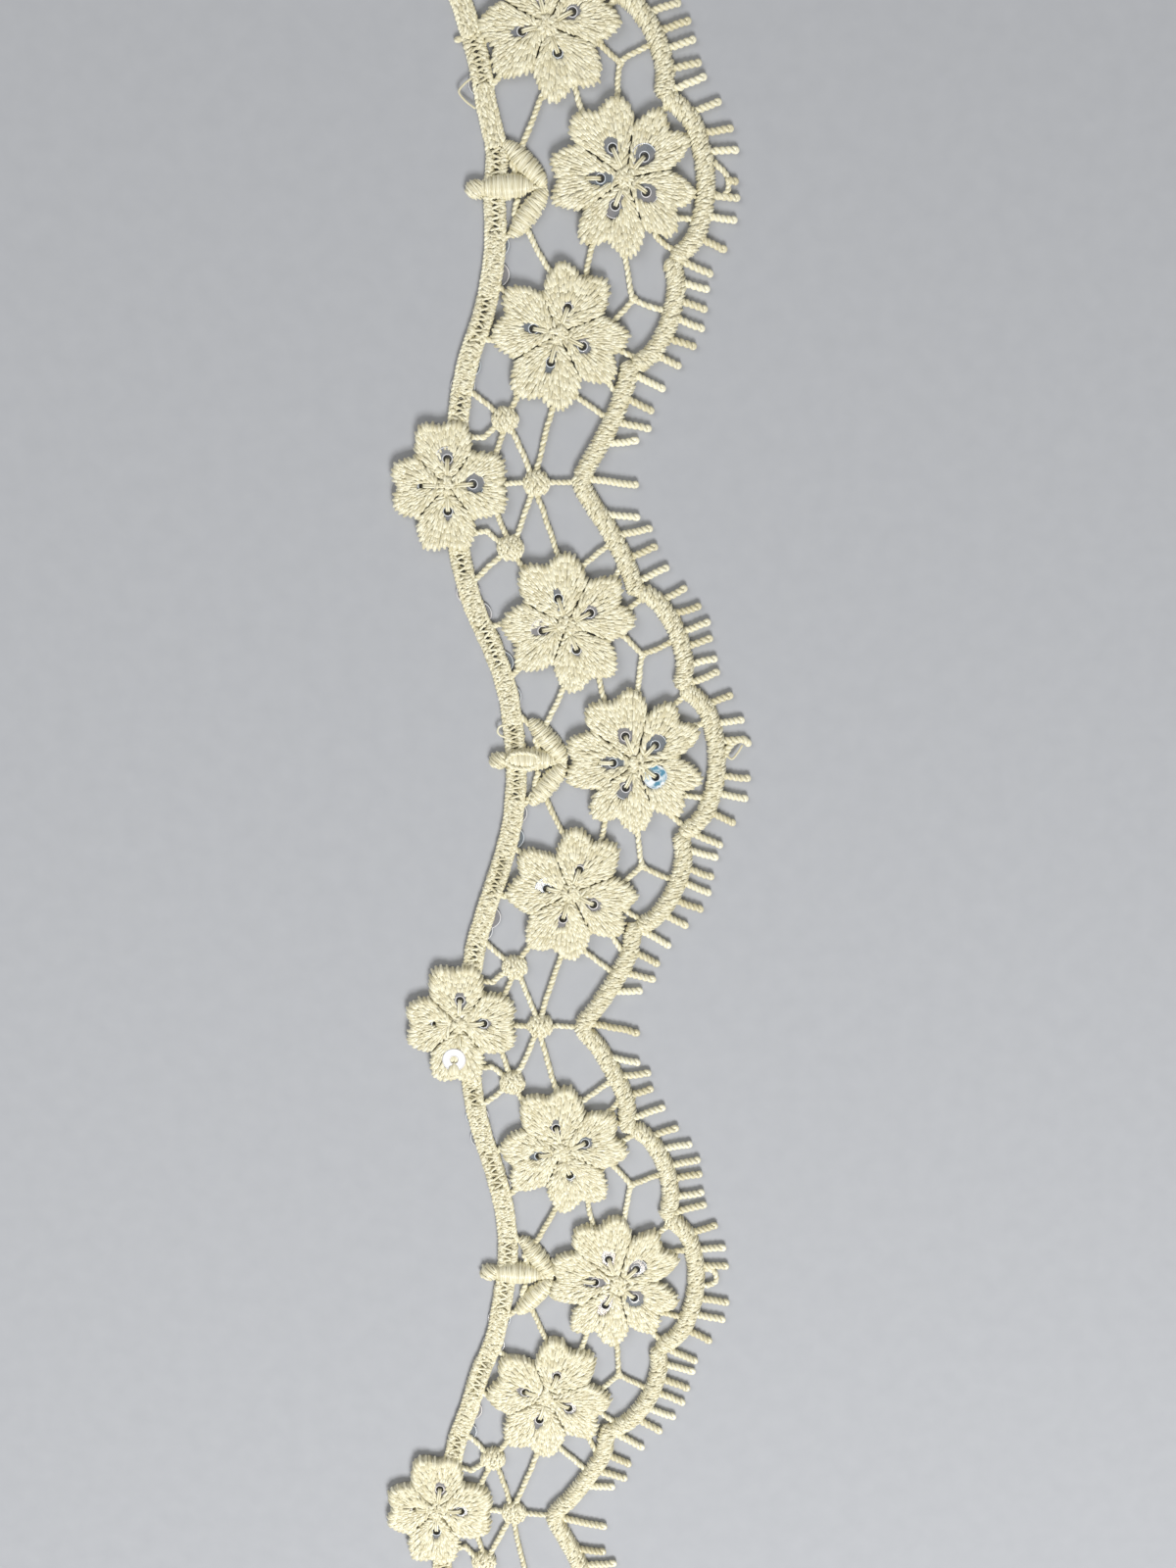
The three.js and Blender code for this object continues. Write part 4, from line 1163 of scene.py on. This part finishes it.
def add_loops(mesh, rng):
    for loop in LOOPS:
        path = [place(loop.half, u, w) for u, w in loop.points]
        if loop.kind == "picot":
            add_picot(mesh, path, rng)
        elif loop.kind == "rope":
            add_rope(mesh, path, LOOP_ROPE, rng)
        else:
            tube(mesh, raised(smooth(path, ROPE_STEP), LOOSE_HEIGHT), LOOSE_RADIUS)


def add_leaf_ring(mesh):
    """A small ring on one leaf."""
    ring = place(LEAF_RING_HALF, LEAF_RING.u, LEAF_RING.w) + polar(LEAF_RING_ARC, LEAF_RING_RADIUS)
    tube(mesh, raised(ring, LEAF_RING_HEIGHT), LEAF_RING_THREAD)


def add_border(mesh, rng):
    """The outline on one tab."""
    column = Column(span_on(Half(BORDERED_PEAK, 1), TAB_BORDER), TAB_BORDER_SHAPE)
    run = np.linspace(TAB_BORDER_CLEAR, column.run[-1] - TAB_BORDER_CLEAR, TAB_BORDER_POINTS)
    width = column.width(run)
    right = column.spot(run, width)
    left = column.spot(run, -width)
    add_rope(mesh, np.concatenate([right, left[::-1], right[:1]]), TAB_BORDER_ROPE, rng)


def add_foot_edges(mesh, path, rng):
    line = smooth(path, ROPE_STEP)
    for side in (-1, 1):
        add_rope(mesh, line + across_line(line) * FOOT_EDGE * side, FOOT_EDGE_ROPE, rng)


def add_foot_crosses(mesh, column, rng):
    """Two strands that cross each other from band to band, one on top of the other."""
    length = column.run[-1]
    count = max(FOOT_CROSS_LEAST, round(length / FOOT_CROSS)) + 1
    for first in (-1, 1):
        sides = first * FOOT_CROSS_REACH * (-1) ** np.arange(count)
        runs = np.linspace(0, length, count)
        runs = np.clip(runs + either_way(rng, FOOT_CROSS_UNEVEN, count), 0, length)
        path = smooth(column.spot(runs, sides), ROPE_STEP)
        height = FOOT_SHAPE.top - FOOT_CROSS_RADIUS * (2 + first)
        tube(mesh, raised(path, height), FOOT_CROSS_RADIUS)


def petal_keys():
    return [(flower.name, index) for flower in FLOWERS for index in range(len(KINDS[flower.kind].petals))]


def node_name(key):
    return f"sequin_{key[0]}_{key[1] + 1}"


def sequin_spot(name, index):
    """Where the sequin of a petal lies: across, along and up."""
    flower = next(flower for flower in FLOWERS if flower.name == name)
    petal = KINDS[flower.kind].petals[index]
    slip = BRIGHT.get((name, index), NOT_SLIPPED).slip
    return np.append(flower_spots(flower, polar(petal.eye, petal.eye_at)), 0) + slip


def cover_stitches(rng):
    """Stitches over the outer edge of the slipped sequin, in the straight strip."""
    spot = sequin_spot(*COVERED)
    across = np.linspace(-COVER_HALF_WIDTH, COVER_HALF_WIDTH, COVER_STITCHES)
    starts = spot[:2] + np.stack([across, np.full(COVER_STITCHES, -COVER_FROM)], 1)
    stops = spot[:2] + np.stack([across * COVER_NARROWS, np.full(COVER_STITCHES, -COVER_TO)], 1)
    stops[:, 1] -= np.abs(across) * rng.uniform(*COVER_ROUNDS, COVER_STITCHES)
    return stitch_lines(starts, stops, lambda flat: spot[2] + COVER_HEIGHT, rng)


def add_sequin(films, edge_glints, spot, tilt):
    """A thin dished disc with a hole, and thin beads along the edges of its hole and rim, whose near-white
    colour is a painted glint.
    """
    profile = [(radius, height + spot[2]) for radius, height in SEQUIN_PROFILE]
    lathe(films, spot, profile, FILM_SIDES, True, tilt)
    for middle in (SEQUIN_HOLE + LIP, SEQUIN_RADIUS - LIP):
        ring = [(middle + LIP * math.cos(a), LIP_AT + spot[2] + LIP * math.sin(a)) for a in LIP_ARC]
        lathe(edge_glints, spot, ring, FILM_SIDES, True, tilt)


def add_petal_sequin(films, edge_glints, key, rng):
    tilt = GLINT_TILT if key in GLINTS else either_way(rng, SEQUIN_TILT, 2)
    add_sequin(films, edge_glints, sequin_spot(*key), tilt)


def add_foot_sequins(films, edge_glints, rng):
    for half, places in FOOT_SEQUINS.items():
        for u, w in places:
            spot = np.append(place(half, u, w), -FOOT_SEQUIN_DROP)
            add_sequin(films, edge_glints, spot, either_way(rng, SEQUIN_TILT, 2))


def principled(name):
    material = bpy.data.materials.new(name)
    material.use_nodes = True
    return material, material.node_tree, material.node_tree.nodes["Principled BSDF"]


def connect(tree, node, inputs):
    """Sets inputs of a node, each to a value or to the output of another node."""
    for name, source in inputs.items():
        if isinstance(source, bpy.types.NodeSocket):
            tree.links.new(source, node.inputs[name])
        else:
            node.inputs[name].default_value = source


def add_node(tree, kind, inputs):
    node = tree.nodes.new(kind)
    connect(tree, node, inputs)
    return node


def add_ramp(tree, factor, colours, stops):
    ramp = add_node(tree, "ShaderNodeValToRGB", {"Fac": factor})
    for element, colour, stop in zip(ramp.color_ramp.elements, colours, stops):
        element.color = (*colour, 1)
        element.position = stop
    return ramp.outputs["Color"]


def add_noise(tree, scale):
    """Noise that is fixed to the piece."""
    where = tree.nodes.new("ShaderNodeTexCoord")
    noise = add_node(tree, "ShaderNodeTexNoise", {"Vector": where.outputs["Object"], "Scale": scale})
    return noise.outputs["Fac"]


def thread_material(name, tones):
    """Rayon thread: each strand has a shade of its own and fine fibres along it, and a soft gloss."""
    material, tree, shader = principled(name)
    along = tree.nodes.new("ShaderNodeUVMap")
    along.uv_map = STRAND_MAP
    stretch = add_node(tree, "ShaderNodeMapping", {"Vector": along.outputs["UV"], "Scale": FIBRE_SCALE})
    noise = add_node(tree, "ShaderNodeTexNoise", {"Vector": stretch.outputs["Vector"], "Scale": 1})
    fibres = noise.outputs["Fac"]
    shade = tree.nodes.new("ShaderNodeAttribute")
    shade.attribute_name = SHADE
    blend = add_node(tree, "ShaderNodeMix", {"Factor": FIBRE_SHARE, "A": shade.outputs["Fac"], "B": fibres})
    bump_inputs = {"Strength": FIBRE_BUMP, "Distance": FIBRE_DEPTH * MM, "Height": fibres}
    connect(tree, shader, {
        "Base Color": add_ramp(tree, blend.outputs["Result"], tones, THREAD_STOPS),
        "Normal": add_node(tree, "ShaderNodeBump", bump_inputs).outputs["Normal"],
        **THREAD_GLOSS,
    })
    return material


def film_material(look):
    """Film whose tints and thin coating change its colour from place to place. The near-white tints of the
    edge beads, of the slipped sequin and of the tinted sequin's patches are painted glints.
    """
    material, tree, shader = principled(look.name)
    patches = add_noise(tree, look.patches)
    thin, thick = look.coating
    coating = add_node(tree, "ShaderNodeMapRange", {"Value": patches, "To Min": thin, "To Max": thick})
    connect(tree, shader, {
        "Base Color": add_ramp(tree, patches, look.tints, FILM_STOPS),
        "Thin Film Thickness": coating.outputs["Result"],
        "Alpha": look.alpha,
        **FILM_GLOSS,
    })
    return material


def floor_material():
    """Matt paper whose tone drifts a little."""
    material, tree, shader = principled("pale_floor")
    tone = add_ramp(tree, add_noise(tree, FLOOR_GRAIN), FLOOR_TONES, FLOOR_STOPS)
    connect(tree, shader, {"Base Color": tone, "Roughness": FLOOR_ROUGHNESS})
    return material


def add_floor():
    bpy.ops.mesh.primitive_plane_add(size=FLOOR_SIZE)
    floor = bpy.context.object
    floor.name = "floor"
    floor.data.materials.append(floor_material())


def add_light(look):
    """A square light that faces the middle of the part."""
    lamp = bpy.data.lights.new(look.name, "AREA")
    lamp.size = look.size
    lamp.energy = look.power
    light = add_object(look.name, lamp)
    light.location = look.at
    x, y, z = look.at
    light.rotation_euler = (math.atan2(math.hypot(x, y), z), 0, math.atan2(-x, y) + math.pi)


def add_studio():
    for look in LIGHTS:
        add_light(look)
    world = bpy.data.worlds.new("studio")
    world.use_nodes = True
    background = world.node_tree.nodes["Background"]
    background.inputs["Color"].default_value = (1, 1, 1, 1)
    background.inputs["Strength"].default_value = WORLD_STRENGTH
    bpy.context.scene.world = world
    bpy.context.scene.view_settings.view_transform = "Standard"


def add_camera():
    data = bpy.data.cameras.new("camera")
    data.lens = LENS_MM
    data.clip_start = CAMERA_NEAR
    camera = add_object("camera", data)
    camera.location = CAMERA_AT
    camera.rotation_euler = np.radians(CAMERA_TURN)
    bpy.context.scene.camera = camera


def ground_piece(columns):
    mesh = Mesh()
    for flower in FLOWERS:
        add_flower_ground(mesh, flower)
    for column in columns.with_ground():
        column.ground(mesh)
    # The ground's thread is painted a little darker than the stitches, as painted shade between them.
    return mesh.piece("lace_ground", thread_material("shaded_under_thread", SHADED_UNDER_CREAM))


def petal_pieces(thread, rng):
    pieces = []
    for repeat in range(PEAKS):
        mesh = Mesh()
        for flower in FLOWERS[repeat * FLOWERS_A_REPEAT:(repeat + 1) * FLOWERS_A_REPEAT]:
            add_flower_threads(mesh, flower, rng)
        pieces.append(mesh.piece(f"petal_stitches_{repeat + 1}", thread))
    return pieces


def cord_piece(columns, thread, rng):
    mesh = Mesh()
    for column in columns.cords:
        column.add_stitches(mesh, rng)
    return mesh.piece("cord_stitches", thread)


def motif_piece(columns, thread, rng):
    mesh = Mesh()
    for column in [*columns.leaves, *columns.knots, *columns.panels, *columns.tab_knobs]:
        column.add_stitches(mesh, rng)
    add_border(mesh, rng)
    add_stitches(mesh, cover_stitches(rng), STITCH_RADIUS, rng)
    return mesh.piece("motif_stitches", thread)


def bar_piece(thread, rng):
    mesh = Mesh()
    add_bars(mesh, rng)
    return mesh.piece("bars", thread)


def picot_piece(thread, rng):
    mesh = Mesh()
    add_picots(mesh, rng)
    add_loops(mesh, rng)
    add_leaf_ring(mesh)
    return mesh.piece("picots", thread)


def foot_piece(columns, thread, rng):
    mesh = Mesh()
    for column in [*columns.dense_foot, *columns.bands, *columns.loose_foot]:
        column.add_stitches(mesh, rng)
    for column in columns.open_foot:
        add_foot_crosses(mesh, column, rng)
    return mesh.piece("foot_stitches", thread)


def foot_edge_piece(thread, rng):
    mesh = Mesh()
    for path in [*[path_over_peak(peak, FOOT) for peak in range(PEAKS)], path_on(HALVES[0], FOOT)]:
        add_foot_edges(mesh, path, rng)
    return mesh.piece("foot_edges", thread)


def sequin_pieces(rng):
    """The clear sequins of the petals, the bright ones, those of the foot, and the beads along the edges of
    all of them, painted near white as a glint.
    """
    clear = film_material(CLEAR_FILM)
    keys = [key for key in petal_keys() if key not in BRIGHT]
    edge_glints = Mesh()
    films = Mesh()
    for key in keys:
        add_petal_sequin(films, edge_glints, key, rng)
    pieces = [films.piece("sequins", clear)]
    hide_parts(*[node_name(key) for key in keys])
    for key, look in BRIGHT.items():
        films = Mesh()
        add_petal_sequin(films, edge_glints, key, rng)
        pieces.append(films.piece(f"bright_{node_name(key)}", film_material(look.film)))
        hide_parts(node_name(key))
    films = Mesh()
    add_foot_sequins(films, edge_glints, rng)
    pieces.append(films.piece("foot_sequins", clear))
    # The edge beads carry a painted glint.
    pieces.append(edge_glints.piece("sequin_edge_glints", film_material(FILM_EDGE_GLINT)))
    return pieces


def thread_pieces(columns, rng):
    thread = thread_material("rayon_thread", CREAM)
    return [
        *petal_pieces(thread, rng),
        cord_piece(columns, thread, rng),
        motif_piece(columns, thread, rng),
        bar_piece(thread, rng),
        picot_piece(thread, rng),
        foot_piece(columns, thread, rng),
        foot_edge_piece(thread, rng),
    ]


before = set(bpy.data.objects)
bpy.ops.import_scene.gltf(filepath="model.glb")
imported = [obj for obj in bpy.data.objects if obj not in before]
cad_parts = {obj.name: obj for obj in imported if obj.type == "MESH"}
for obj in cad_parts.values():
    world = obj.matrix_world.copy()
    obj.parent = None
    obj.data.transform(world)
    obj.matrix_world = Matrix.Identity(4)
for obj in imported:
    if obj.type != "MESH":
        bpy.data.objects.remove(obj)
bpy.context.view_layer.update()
LAY_SHIFT = lay_shift()
rng = np.random.default_rng(SEED)
columns = Columns()
lace = ground_piece(columns)
threads = thread_pieces(columns, rng)
films = sequin_pieces(rng)

for slot, pieces in {"thread": [lace, *threads], "film": films}.items():
    for piece in pieces:
        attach(piece, "root")
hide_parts("lace")

add_floor()
add_studio()
add_camera()
